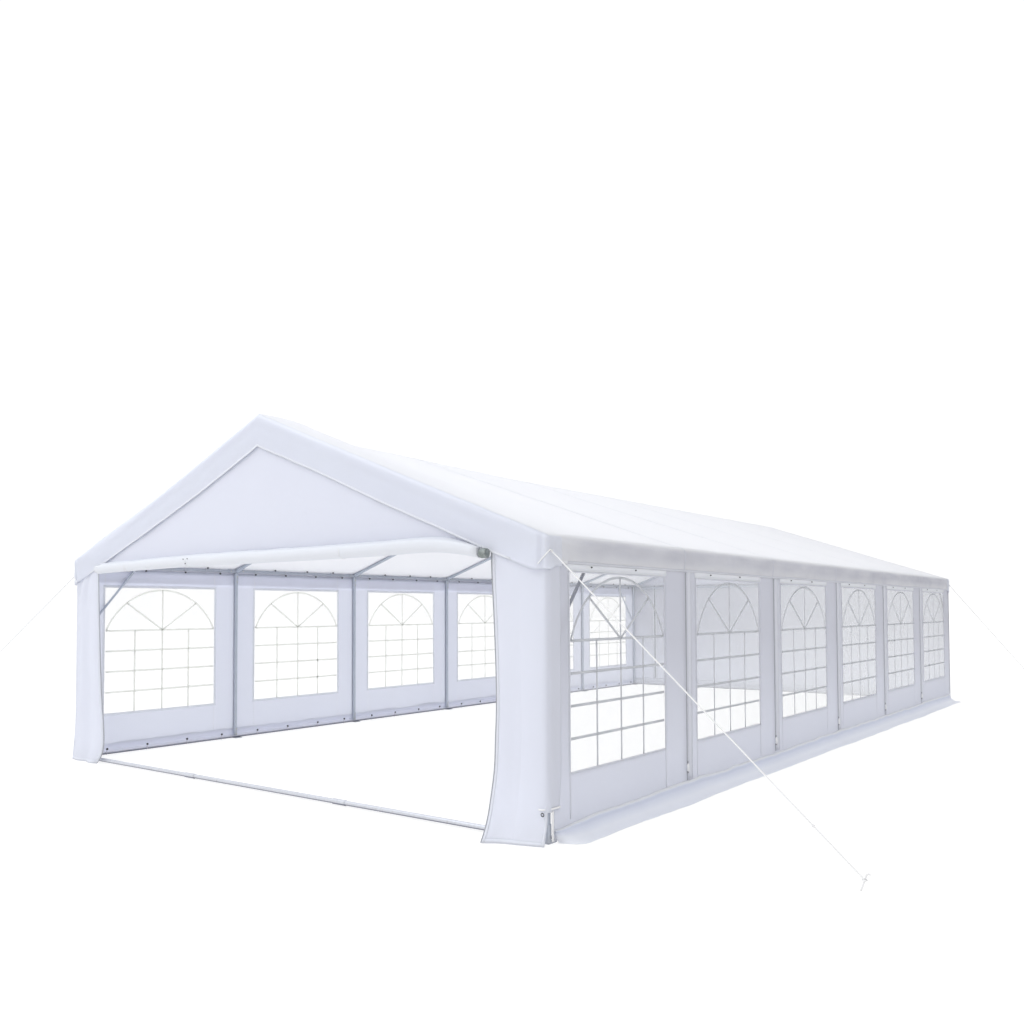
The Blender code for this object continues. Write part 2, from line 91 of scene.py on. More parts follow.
class End(Face):
    """The two short ends of the tent, by the sign of Y."""

    FRONT = -1
    REAR = 1


class Slot(Enum):
    """Names of the record's material slots."""

    ROOF = "roof_fabric"
    WALL = "wall_fabric"
    FILM = "clear_film"
    STEEL = "steel_tube"
    CAP = "grey_cap"
    ROPE = "white_rope"


@dataclass(frozen=True)
class TentPlan:
    """The driving sizes that every piece is worked out from, in metres."""

    bay: float = 2.0
    bays: int = 6
    half_width: float = 3.0
    eave_z: float = 2.04
    ridge_z: float = 3.07
    tube_r: float = 0.019
    sleeve_r: float = 0.023
    cloth: float = 0.0014
    tape: float = 0.0009
    window_width: float = 1.40
    window_low: float = 0.44
    window_high: float = 1.81
    window_shift: float = -0.06
    skirt: float = 0.19

    @property
    def half_length(self) -> float:
        """Distance from the middle of the plan to the end portals."""
        return self.bay * self.bays / 2

    @property
    def portals(self) -> list[float]:
        """Places of the portals along Y."""
        return [-self.half_length + self.bay * i for i in range(self.bays + 1)]

    @property
    def bay_centres(self) -> list[float]:
        """Places of the middles of the bays along Y."""
        return [-self.half_length + self.bay * (i + 0.5) for i in range(self.bays)]

    def lift(self, y: float) -> float:
        """How much higher the roof sheet stands over the ridge beam at a place along the tent."""
        return max(0.0, follow(RIDGE_LIFTS, y))

    def slope(self, lift: float = 0.0) -> float:
        """Fall of a roof slope in metres per metre."""
        return (self.ridge_z + lift - self.eave_z) / self.half_width

    def roof_line(self, x: float, rise: float, lift: float = 0.0) -> float:
        """Height of a line parallel to the rafters.

        Args:
            x: Place across the tent.
            rise: Distance from the rafters' centre line, square to the slope.
            lift: Extra height of the ridge.

        Returns:
            The height above the ground.
        """
        slope = self.slope(lift)
        return self.ridge_z + lift + rise * math.hypot(1, slope) - slope * abs(x)


def smooth_step(value: float) -> float:
    """An S-shaped step from 0 to 1 as value goes from 0 to 1."""
    held = min(1.0, max(0.0, value))
    return held * held * (3 - 2 * held)


def bell(offset: float, width: float) -> float:
    """A rounded hump that is 1 in its middle and about a third at width from it."""
    return math.exp(-((offset / width) ** 2))


def follow(points: Curve, place: float) -> float:
    """A smooth curve through (place, value) pairs, level beyond its ends.

    Args:
        points: The pairs, in rising order of place.
        place: Where the curve is read.

    Returns:
        The value there.
    """
    held = min(max(place, points[0][0]), points[-1][0])
    last = len(points) - 1
    i = max(k for k in range(last) if points[k][0] <= held)
    before, low, high, after = (points[min(max(k, 0), last)] for k in (i - 1, i, i + 1, i + 2))
    width = high[0] - low[0]
    leave = (high[1] - before[1]) / (high[0] - before[0]) * width
    reach = (after[1] - low[1]) / (after[0] - low[0]) * width
    t = (held - low[0]) / width
    bend = t * t * (3 - 2 * t)
    return low[1] + (high[1] - low[1]) * bend + t * (t - 1) * ((t - 1) * leave + t * reach)


def wrinkle(a: float, b: float, size: float, seed: float) -> float:
    """Smooth noise from -1 to 1 over a surface.

    Args:
        a: First coordinate on the cloth, in metres.
        b: Second coordinate on the cloth, in metres.
        size: Size of one wrinkle, in metres.
        seed: Picks one of many patterns.

    Returns:
        The noise at that place.
    """
    return noise.noise(Vector((a / size, b / size, seed * 7.31)))


def spaced(start: float, stop: float, step: float) -> list[float]:
    """Even steps from start to stop, none longer than step."""
    count = max(1, math.ceil(abs(stop - start) / step - 1e-9))
    return [start + (stop - start) * i / count for i in range(count + 1)]


def knotted(points: Sequence[float], step: float) -> list[float]:
    """Even steps between each pair of points, so that a grid line falls on every point."""
    lines = [points[0]]
    for low, high in zip(points, points[1:]):
        lines += spaced(low, high, step)[1:]
    return lines


def mirrored(half: Sequence[float]) -> list[float]:
    """Grid lines that run outwards from zero, carried over to the other half too."""
    return [-line for line in reversed(half) if line > 0] + list(half)


def straight(start: Spot, stop: Spot) -> Route:
    """A straight route between two places."""
    run = (stop[0] - start[0], stop[1] - start[1])
    return lambda t: (start[0] + run[0] * t, start[1] + run[1] * t)


def curve(places: Sequence[float], values: Sequence[float]) -> Curve:
    """Pairs of a place and the value there."""
    return tuple(zip(places, values))


RIDGE_LIFTS = curve(
    (-6.04, -5.60, -5.32, -5.08, -4.40, -3.20, -2.40, -1.60, 0.0),
    (0.170, 0.158, 0.106, 0.054, 0.038, 0.016, 0.002, 0.0, 0.0),
)
PLAN = TentPlan()
ROOF_LOW, ROOF_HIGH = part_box("roof_cover")
WALL_LOW, WALL_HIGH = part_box("wall_right")
REAR_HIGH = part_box("rear_wall")[1]
ROLL_LOW, ROLL_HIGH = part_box("rolled_door")
CURTAIN_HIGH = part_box("front_curtain_right")[1]
CAP_LOW, CAP_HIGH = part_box("roll_pole_cap")
HALF_SHEET = 0.0025
SLACK = 0.0012
VALANCE_X = ROOF_HIGH.x - HALF_SHEET
VALANCE_Z = ROOF_LOW.z
ROOF_END = ROOF_HIGH.y - HALF_SHEET
ROOF_RISE = PLAN.sleeve_r + HALF_SHEET
EAVE_EDGE_Z = PLAN.roof_line(VALANCE_X, ROOF_RISE)
SLOPE_LENGTH = math.hypot(VALANCE_X, VALANCE_X * PLAN.slope())
VALANCE_DROP = EAVE_EDGE_Z - VALANCE_Z
RAKE_FOOT_Z = 1.822
RAKE_PLUMB = 0.285
RAKE_REACH = 3.19
WALL_X = (WALL_LOW.x + WALL_HIGH.x) / 2
END_Y = PLAN.half_length + PLAN.sleeve_r + SLACK + HALF_SHEET
PANEL_FOOT_Z = REAR_HIGH.z - 0.02
HALF_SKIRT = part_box("skirt_right")[1].y + 0.004


class Nodes:
    """Adds the nodes of one material or world and links them."""

    def __init__(self, tree: bpy.types.NodeTree) -> None:
        """Takes the node tree that it works in.

        Args:
            tree: The material's or the world's node tree.
        """
        self.tree = tree

    def fill(self, node: bpy.types.Node, inputs: dict) -> bpy.types.Node:
        """Sets or links a node's inputs.

        Args:
            node: The node.
            inputs: Socket name or number to a value, or to the output socket that feeds it.

        Returns:
            The same node.
        """
        for key, value in inputs.items():
            if isinstance(value, Socket):
                self.tree.links.new(value, node.inputs[key])
            else:
                node.inputs[key].default_value = value
        return node

    def add(self, kind: str, inputs: dict | None = None, **settings: object) -> bpy.types.Node:
        """Adds a node.

        Args:
            kind: Blender's name for the node's type, without ShaderNode.
            inputs: Socket name or number to a value or an output socket.
            **settings: Settings of the node itself.

        Returns:
            The new node.
        """
        node = self.tree.nodes.new(f"ShaderNode{kind}")
        for key, value in settings.items():
            setattr(node, key, value)
        return self.fill(node, inputs or {})

    def math(self, operation: str, *terms: object) -> Socket:
        """The result of one sum of numbers and sockets."""
        return self.add("Math", dict(enumerate(terms)), operation=operation).outputs[0]

    def times(self, product: object, *factors: object) -> Socket:
        """The product of numbers and sockets, from left to right."""
        for factor in factors:
            product = self.math("MULTIPLY", product, factor)
        return product

    def scaled(self, value: object, scale: float, shift: float) -> Socket:
        """A value times a scale, plus a shift."""
        return self.math("ADD", self.times(value, scale), shift)

    def ramp(
        self,
        value: object,
        low: float,
        high: float,
        start: float = 0.0,
        end: float = 1.0,
        **settings: object,
    ) -> Socket:
        """Goes from start to end while a value goes from low to high, and is level beyond.

        Args:
            value: The socket that is read.
            low: The value where the ramp starts.
            high: The value where it ends.
            start: The result up to low.
            end: The result from high.
            **settings: Settings of the node itself.

        Returns:
            The result, as a socket.
        """
        inputs = {"Value": value, "From Min": low, "From Max": high, "To Min": start, "To Max": end}
        return self.add("MapRange", inputs, **settings).outputs["Result"]

    def blend(self, factor: object, first: object, second: object) -> Socket:
        """A colour between two colours, each a socket or a plain colour."""
        first, second = (rgba(c) if isinstance(c, tuple) else c for c in (first, second))
        return self.add("Mix", {0: factor, 6: first, 7: second}, data_type="RGBA").outputs[2]

    def object_place(self) -> Socket:
        """Coordinates in the model's frame, in metres."""
        return self.add("TexCoord").outputs["Object"]

    def cloth_place(self) -> Socket:
        """Coordinates on the flat cloth, in metres."""
        return self.add("UVMap", uv_map=FLAT_MAP).outputs["UV"]

    def axes(self, place: Socket) -> list[Socket]:
        """The three coordinates of a place."""
        return list(self.add("SeparateXYZ", {"Vector": place}).outputs)

    def noise(self, place: Socket, scale: float, detail: float = 3.0) -> Socket:
        """Smooth noise of one size."""
        inputs = {"Vector": place, "Scale": scale, "Detail": detail}
        return self.add("TexNoise", inputs).outputs["Fac"]

    def beat(self, along: Socket, pitch: float) -> Socket:
        """Rises from 0 to 1 over and over, once every pitch."""
        return self.math("FRACT", self.math("DIVIDE", along, pitch))

    def rib(self, along: Socket, pitch: float) -> Socket:
        """Rounded ribs that follow each other at a pitch."""
        return self.math("SINE", self.times(self.beat(along, pitch), math.pi))

    def off_middle(self, across: Socket) -> Socket:
        """Distance from the middle of a tape, whose width is 1."""
        return self.math("ABSOLUTE", self.math("SUBTRACT", across, 0.5))

    def bump(
        self, height: Socket, distance: float, strength: float, under: Socket | None = None
    ) -> Socket:
        """A normal that rises and falls with a height.

        Args:
            height: Socket with the height, from 0 to 1.
            distance: Metres that a height of 1 stands for.
            strength: Share of the effect, from 0 to 1.
            under: Normal socket that this one is laid on.

        Returns:
            The normal, as a socket.
        """
        inputs = {"Height": height, "Distance": distance, "Strength": strength}
        if under is not None:
            inputs["Normal"] = under
        return self.add("Bump", inputs).outputs["Normal"]


class Coat(Nodes):
    """The nodes of one material."""

    def __init__(self, name: str) -> None:
        """Starts a material that has a Principled shader and an output.

        Args:
            name: The material's name.
        """
        self.material = bpy.data.materials.new(name)
        self.material.use_nodes = True
        super().__init__(self.material.node_tree)
        self.shader = self.tree.nodes["Principled BSDF"]
        self.output = self.tree.nodes["Material Output"]

    def surface(
        self,
        colour: Socket,
        roughness: object,
        normal: Socket | None = None,
        more: dict | None = None,
    ) -> Material:
        """Gives the shader its main inputs.

        Args:
            colour: Socket with the base colour.
            roughness: A number or a socket.
            normal: Socket with the relief, if there is one.
            more: Further inputs of the shader.

        Returns:
            The material.
        """
        inputs = {"Base Color": colour, "Roughness": roughness, **(more or {})}
        if normal is not None:
            inputs["Normal"] = normal
        self.fill(self.shader, inputs)
        return self.material

    def let_through(self, share: object, colour: Socket, normal: Socket | None = None) -> Material:
        """Lets a share of the light come through from behind.

        Args:
            share: A number or a socket, from 0 to 1.
            colour: Colour of the light that comes through.
            normal: Socket with the relief, if there is one.

        Returns:
            The material.
        """
        inputs = {"Color": colour} if normal is None else {"Color": colour, "Normal": normal}
        lit = self.add("BsdfTranslucent", inputs).outputs[0]
        mixed = self.add("MixShader", {0: share, 1: self.shader.outputs[0], 2: lit})
        self.fill(self.output, {"Surface": mixed.outputs[0]})
        return self.material


def rgba(colour: Colour) -> tuple[float, float, float, float]:
    """A colour with full cover."""
    return (*colour, 1.0)


def darker(colour: Colour, share: float) -> Colour:
    """A colour with only a share of its light."""
    return tuple(channel * share for channel in colour)


@dataclass(frozen=True)
class CoatedCloth:
    """White sheeting with a plastic coat: a fine weave, soft crumples and light that comes through.

    Attributes:
        name: The material's name.
        tint: Its lighter colour.
        shade: Its darker colour.
        roughness: Roughness of the coat.
        through: Share of the light that comes through.
        thread: Pitch of the weave, in metres.
        crumple: Depth of the crumples, in metres.
        dirt: Strength of the mud near the ground.
        drop: Strength of the painted shade on the valances.
        painted_band_light: Strength of the painted light in bands at a wall's head and foot.
        crease: Strength of the painted shade under a skirt's sewn edge.
        dull: Strength of the painted shade that greys a wall towards its head.
    """

    name: str
    tint: Colour
    shade: Colour
    roughness: float = 0.52
    through: float = 0.45
    thread: float = 0.0032
    crumple: float = 0.012
    dirt: float = 0.22
    drop: float = 0.0
    painted_band_light: float = 0.0
    crease: float = 0.0
    dull: float = 0.0

    def make(self) -> Material:
        """Builds the material."""
        kit = Coat(self.name)
        place, flat = kit.object_place(), kit.cloth_place()
        x, y, z = kit.axes(place)
        broad = kit.noise(place, 0.9)
        colour = kit.blend(broad, self.tint, self.shade)
        near_ground = kit.ramp(z, 0.0, 0.22, 0.35, 0.0)
        mud = kit.times(near_ground, kit.noise(place, 14.0, 5.0), self.dirt)
        colour = kit.blend(mud, colour, (0.50, 0.49, 0.46))
        soft = kit.bump(kit.noise(place, 3.2, 4.0), self.crumple, 0.55)
        relief = kit.bump(kit.noise(place, 17.0), self.crumple * 0.16, 0.5, soft)
        through: object = self.through
        if self.drop:
            valance = kit.ramp(kit.math("ABSOLUTE", x), VALANCE_X - 0.012, VALANCE_X + 0.006)
            # Painted shade: the valances turn bluish grey in streaks, less so at their hem and at
            # the corners.
            wear_and_painted_shade = kit.times(valance, self.painted_valance_shade(kit, place, y, z), self.drop)
            colour = kit.blend(wear_and_painted_shade, colour, (0.52, 0.525, 0.615))
            relief = kit.bump(kit.times(kit.noise(place, 7.0), valance), 0.03, 0.6, relief)
        if self.painted_band_light:
            # Painted light: lighter bands at the wall's head and foot, where the roof and the
            # ground shade it; these bands also let less light through.
            head = kit.ramp(z, VALANCE_Z - 0.045, VALANCE_Z - 0.015)
            painted_light_band = kit.math("MAXIMUM", head, kit.ramp(z, 0.085, 0.115, 1.0, 0.0))
            colour = kit.blend(kit.times(painted_light_band, self.painted_band_light), colour, (0.91, 0.925, 1.0))
            through = kit.times(kit.math("SUBTRACT", 1.0, kit.times(painted_light_band, 0.1)), self.through)
        if self.dull:
            # Painted shade: the wall greys more and more from low down up towards its head, under
            # the valance.
            grey = kit.times(kit.ramp(z, 0.35, 1.3), self.dull)
            colour = kit.blend(grey, colour, (0.64, 0.645, 0.70))
        if self.crease:
            # Painted shade: a bluer band on the skirt just under its sewn edge, where the fold
            # above shades it.
            run = kit.axes(flat)[1]
            under = kit.times(kit.ramp(run, 0.010, 0.022), kit.ramp(run, 0.035, 0.12, 1.0, 0.0))
            colour = kit.blend(kit.times(under, self.crease), colour, (0.54, 0.60, 0.80))
        normal = kit.bump(self.weave(kit, flat), 0.0003, 0.25, relief)
        gloss = {"Specular IOR Level": 0.42, "Sheen Weight": 0.08}
        kit.surface(colour, kit.scaled(broad, 0.12, self.roughness - 0.06), normal, gloss)
        return kit.let_through(through, colour, normal)

    def painted_valance_shade(self, kit: Coat, place: Socket, y: Socket, z: Socket) -> Socket:
        """Painted shade on the valances, in streaks that stand in for the shading of dents, which
        ends at their hem and fades towards the corners.

        Args:
            kit: The material's nodes.
            place: Coordinates in the model's frame.
            y: The place along the tent.
            z: The height.

        Returns:
            The strength of the painted shade.
        """
        hem = kit.ramp(z, VALANCE_Z + 0.014, VALANCE_Z + 0.03)
        stretched = kit.add("Mapping", {"Vector": place, "Scale": (1.0, 0.45, 1.6)})
        streak = kit.noise(stretched.outputs["Vector"], 4.5, 4.0)
        corner = kit.ramp(kit.math("ABSOLUTE", y), 5.6, 5.95, 1.0, 0.2)
        return kit.times(hem, kit.scaled(streak, 1.5, 0.25), corner, kit.scaled(y, 0.03, 1.02))

    def weave(self, kit: Coat, flat: Socket) -> Socket:
        """Height of the warp and weft threads on the flat cloth."""
        scale = 0.314 / self.thread
        waves = [
            kit.add("TexWave", {"Vector": flat, "Scale": scale}, bands_direction=way).outputs["Fac"]
            for way in "XY"
        ]
        return kit.math("MAXIMUM", *waves)


@dataclass(frozen=True)
class SewnTape:
    """A hem or seam tape with two rows of stitches.

    Its UV map runs along it in metres, and across it from 0 to 1.
    """

    name: str
    tint: Colour
    stitch: Colour
    pitch: float = 0.007
    through: float = 0.3

    def make(self) -> Material:
        """Builds the material."""
        kit = Coat(self.name)
        along, across, _ = kit.axes(kit.cloth_place())
        dash = kit.math("GREATER_THAN", kit.beat(along, self.pitch), 0.3)
        row = kit.math("COMPARE", kit.off_middle(across), 0.36, 0.035)
        thread = kit.times(dash, row)
        dust = kit.noise(kit.object_place(), 6.0)
        colour = kit.blend(dust, self.tint, darker(self.tint, 0.94))
        colour = kit.blend(thread, colour, self.stitch)
        sunk = kit.bump(kit.math("SUBTRACT", 1.0, row), 0.0006, 0.6)
        kit.surface(colour, 0.58, kit.bump(thread, 0.0006, 0.8, sunk))
        return kit.let_through(self.through, colour)


@dataclass(frozen=True)
class ZipTape:
    """A grey zip on its tape. Its UV map runs along it in metres, across in 0 to 1."""

    name: str = "zip_tape"
    tape: Colour = (0.44, 0.45, 0.49)
    teeth: Colour = (0.27, 0.28, 0.31)
    pitch: float = 0.005

    def make(self) -> Material:
        """Builds the material."""
        kit = Coat(self.name)
        along, across, _ = kit.axes(kit.cloth_place())
        tooth = kit.math("GREATER_THAN", kit.beat(along, self.pitch), 0.45)
        teeth = kit.times(tooth, kit.math("LESS_THAN", kit.off_middle(across), 0.22))
        dust = kit.noise(kit.object_place(), 30.0, 2.0)
        colour = kit.blend(dust, self.tape, darker(self.tape, 0.85))
        colour = kit.blend(teeth, colour, self.teeth)
        return kit.surface(colour, 0.6, kit.bump(teeth, 0.001, 0.9))


@dataclass(frozen=True)
class ClearFilm:
    """Clear flexible film with a faint haze and slow waves in its gloss.

    Attributes:
        name: The material's name.
        cover: Share of the view that the film hides.
        far_painted_sheen: Painted sky reflection: what the right wall's film hides more, and so
            shows whiter, from its middle bays on.
    """

    name: str = "clear_film_gloss"
    cover: float = 0.115
    far_painted_sheen: float = 0.21

    def make(self) -> Material:
        """Builds the material."""
        kit = Coat(self.name)
        place = kit.object_place()
        x, y, _ = kit.axes(place)
        haze = kit.noise(place, 2.5, 4.0)
        colour = kit.blend(haze, (0.99, 1.0, 1.0), (0.95, 0.97, 0.98))
        # Painted reflection: the right wall's film grows more opaque and whiter from the front
        # towards the middle, standing in for the sky that it mirrors there.
        right = kit.math("GREATER_THAN", x, 0.0)
        far_sheen = kit.times(kit.ramp(y, -5.0, 0.0, 0.0, self.far_painted_sheen), right)
        even = kit.math("ADD", far_sheen, self.cover - 0.04)
        alpha = kit.math("ADD", kit.times(haze, 0.08), even)
        normal = kit.bump(kit.noise(place, 2.2, 1.0), 0.003, 0.3)
        return kit.surface(colour, kit.scaled(haze, 0.12, 0.16), normal, {"Alpha": alpha})


@dataclass(frozen=True)
class PlainCoat:
    """A hard or rubbery surface with slight scuffing: used for bars, balls, caps and pegs."""

    name: str
    tint: Colour
    wear_and_painted_shade: Colour
    roughness: float = 0.5
    metallic: float = 0.0
    grain: float = 60.0
    relief: float = 0.0004
    through: float = 0.0

    def make(self) -> Material:
        """Builds the material."""
        kit = Coat(self.name)
        place = kit.object_place()
        patch = kit.noise(place, self.grain, 4.0)
        colour = kit.blend(kit.ramp(patch, 0.42, 0.72), self.tint, self.wear_and_painted_shade)
        rough = kit.scaled(patch, 0.2, self.roughness - 0.1)
        normal = kit.bump(kit.noise(place, self.grain * 3), self.relief, 0.4)
        kit.surface(colour, rough, normal, {"Metallic": self.metallic})
        if self.through > 0:
            kit.let_through(self.through, colour)
        return kit.material


@dataclass(frozen=True)
class CoatedTube:
    """Grey-blue coated steel: faint streaks, fine orange peel, and scuffs down to bare steel."""

    name: str = "coated_tube"
    coat: Colour = (0.42, 0.46, 0.54)
    chalk: Colour = (0.54, 0.58, 0.65)
    bare: Colour = (0.55, 0.55, 0.56)
    painted_underside_shade: float = 0.0

    def make(self) -> Material:
        """Builds the material."""
        kit = Coat(self.name)
        place = kit.object_place()
        z = kit.axes(place)[2]
        streak = kit.noise(place, 5.0, 5.0)
        scuff = kit.noise(place, 48.0, 6.0)
        wear_and_painted_shade = kit.ramp(scuff, 0.66, 0.72)
        colour = kit.blend(streak, self.coat, self.chalk)
        colour = kit.blend(wear_and_painted_shade, colour, self.bare)
        splashed = kit.times(kit.ramp(z, 0.0, 0.12, 0.5, 0.0), scuff)
        colour = kit.blend(splashed, colour, (0.24, 0.22, 0.20))
        if self.painted_underside_shade:
            # Painted shade: the underside of a bar lying on the ground turns dark blue-grey.
            under = kit.times(kit.ramp(z, 0.020, 0.028, 1.0, 0.0), self.painted_underside_shade)
            colour = kit.blend(under, colour, (0.10, 0.105, 0.16))
        peel = kit.bump(kit.noise(place, 420.0, 2.0), 0.0003, 0.25)
        metal = {"Metallic": kit.scaled(wear_and_painted_shade, 0.6, 0.25)}
        return kit.surface(colour, kit.scaled(streak, 0.22, 0.28), peel, metal)


@dataclass(frozen=True)
class TwistedRope:
    """White laid rope. Its UV map runs along it in metres, round it in metres."""

    name: str = "twisted_rope"
    tint: Colour = (0.95, 0.95, 0.95)
    groove_shade: Colour = (0.72, 0.72, 0.74)
    lay: float = 0.011

    def make(self) -> Material:
        """Builds the material."""
        kit = Coat(self.name)
        along, around, _ = kit.axes(kit.cloth_place())
        strand = kit.rib(kit.math("ADD", along, around), self.lay)
        # Painted shade: darker grooves between the strands.
        colour = kit.blend(strand, self.groove_shade, self.tint)
        dust = kit.times(kit.noise(kit.object_place(), 25.0), 0.2)
        colour = kit.blend(dust, colour, (0.75, 0.75, 0.73))
        return kit.surface(colour, 0.85, kit.bump(strand, 0.0012, 0.9))


@dataclass(frozen=True)
class Webbing:
    """Flat woven strap. Its UV map runs along it in metres, across in 0 to 1."""

    name: str = "strap_webbing"
    tint: Colour = (0.95, 0.95, 0.96)
    groove_shade: Colour = (0.84, 0.84, 0.86)
    pitch: float = 0.003

    def make(self) -> Material:
        """Builds the material."""
        kit = Coat(self.name)
        rib = kit.rib(kit.axes(kit.cloth_place())[0], self.pitch)
        # Painted shade: darker hollows between the ribs.
        colour = kit.blend(rib, self.groove_shade, self.tint)
        dust = kit.times(kit.noise(kit.object_place(), 40.0), 0.15)
        colour = kit.blend(dust, colour, (0.7, 0.7, 0.7))
        return kit.surface(colour, 0.8, kit.bump(rib, 0.0005, 0.8))


# Painted light and shade: the cloths are copies of one coated sheeting, tinted by the light that
# each part gets, lightest on the roof, the rake flaps and the skirt, darker on the shaded right
# wall, the gable and the roll.
ROOF_CLOTH = CoatedCloth(
    "roof_cloth", (0.948, 0.951, 0.968), (0.928, 0.932, 0.955), through=0.44, drop=0.5
).make()
FLAP_CLOTH = CoatedCloth(
    "flap_cloth", (0.922, 0.937, 0.983), (0.898, 0.913, 0.968), through=0.5
).make()
GABLE_CLOTH = CoatedCloth(
    "gable_cloth", (0.818, 0.832, 0.905), (0.795, 0.81, 0.885), through=0.3
).make()
ROLL_CLOTH = CoatedCloth(
    "roll_cloth", (0.80, 0.82, 0.87), (0.765, 0.785, 0.84), through=0.12, crumple=0.03
).make()
SKIRT_CLOTH = CoatedCloth(
    "skirt_cloth", (0.925, 0.945, 0.998), (0.895, 0.92, 0.99), through=0.2, crease=0.42
).make()
WALL_CLOTH = CoatedCloth(
    "wall_cloth", (0.825, 0.84, 0.90), (0.795, 0.81, 0.875), through=0.42, crumple=0.015, dull=0.55
).make()
SUNNY_CLOTH = CoatedCloth(
    "sunny_cloth", (0.87, 0.885, 0.94), (0.845, 0.86, 0.92), through=0.52, crumple=0.015, painted_band_light=1.0
).make()
CURTAIN_CLOTH = CoatedCloth(
    "curtain_cloth", (0.858, 0.873, 0.933), (0.828, 0.843, 0.908), through=0.4, crumple=0.015
).make()
# Painted light and shade: the tapes are copies of one sewn tape, lighter on the roof, the skirt
# piping and the sunny left wall, darker on the valances and the shaded right wall.
TAPE = SewnTape("sewn_tape", (0.895, 0.915, 0.98), (0.80, 0.82, 0.89)).make()
WALL_TAPE = SewnTape("wall_tape", (0.835, 0.85, 0.915), (0.72, 0.74, 0.82)).make()
INNER_TAPE = SewnTape("inner_tape", (0.93, 0.94, 0.985), (0.88, 0.89, 0.94), through=0.1).make()
SUNNY_TAPE = SewnTape("sunny_tape", (0.97, 0.975, 0.99), (0.92, 0.925, 0.96), through=0.95).make()
ROOF_TAPE = SewnTape("roof_tape", (0.94, 0.955, 0.998), (0.90, 0.92, 0.97)).make()
VALANCE_TAPE = SewnTape("valance_tape", (0.79, 0.80, 0.865), (0.67, 0.68, 0.75)).make()
ZIP = ZipTape().make()
FILM = ClearFilm().make()
# Painted light: the left wall's bars, seen against the light, take a lighter copy of the one
# printed colour.
BAR = PlainCoat(
    "window_bar_print", (0.70, 0.715, 0.745), (0.76, 0.77, 0.80), grain=12.0, through=0.5
).make()
SUNNY_BAR = PlainCoat(
    "sunny_bar_print", (0.91, 0.915, 0.89), (0.95, 0.955, 0.93), grain=12.0, through=0.77
).make()
TUBE = CoatedTube().make()
# Painted light and shade, as copies of the one tube coat: near black on the right braces for their
# shadow seen through the wall, darker on the eave rails for the shade under the valances, lighter
# on the ground bars for the sky reflected on their tops.
SHADED_BRACE_TUBE = CoatedTube("brace_tube", (0.032, 0.042, 0.105), (0.06, 0.075, 0.15)).make()
RAIL_TUBE = CoatedTube("rail_tube", (0.33, 0.36, 0.43), (0.42, 0.45, 0.52)).make()
GROUND_TUBE = CoatedTube("ground_tube", (0.62, 0.64, 0.70), (0.72, 0.74, 0.80), painted_underside_shade=0.9).make()
BALL = PlainCoat("tie_ball", (0.035, 0.036, 0.04), (0.07, 0.07, 0.075), 0.42, grain=90.0).make()
ELASTIC = PlainCoat("tie_elastic", (0.50, 0.50, 0.54), (0.70, 0.70, 0.72), 0.8, grain=400.0).make()
CAP = PlainCoat(
    "pole_cap", (0.20, 0.225, 0.22), (0.36, 0.39, 0.38), 0.55, 0.3, grain=38.0, relief=0.002
).make()
PEG = PlainCoat("peg_steel", (0.80, 0.80, 0.81), (0.68, 0.67, 0.66), 0.5, 0.35, grain=50.0).make()
BOLT = PlainCoat("bolt_zinc", (0.62, 0.62, 0.60), (0.42, 0.40, 0.37), 0.4, 0.9, grain=120.0).make()
ROPE = TwistedRope().make()
STRAP = Webbing().make()


def make_piece(
    name: str,
    bm: Mesh,
    look: Material,
    slot: Slot,
    stands_for: str = "",
    thickness: float = 0.0,
    smooth: float = 180.0,
) -> Piece:
    """Turns a finished bmesh into a piece that rides on the tent.

    Args:
        name: The piece's name.
        bm: The mesh, which is used up.
        look: Its material.
        slot: A material slot; not used.
        stands_for: The CAD node that it replaces, if there is one.
        thickness: Thickness of a sheet in metres, half on each side.
        smooth: Edges sharper than this many degrees stay sharp.

    Returns:
        The new object.
    """
    mesh = bpy.data.meshes.new(name)
    bm.to_mesh(mesh)
    bm.free()
    mesh.materials.append(look)
    mesh.shade_smooth()
    if smooth < 180.0:
        mesh.set_sharp_from_angle(angle=math.radians(smooth))
    piece = bpy.data.objects.new(name, mesh)
    bpy.context.scene.collection.objects.link(piece)
    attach(piece, "root")
    if stands_for:
        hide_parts(stands_for)
    if thickness:
        made = piece.modifiers.new("thickness", "SOLIDIFY")
        made.thickness = thickness
        made.offset = 0.0
    log.info("piece %s", name)
    return piece


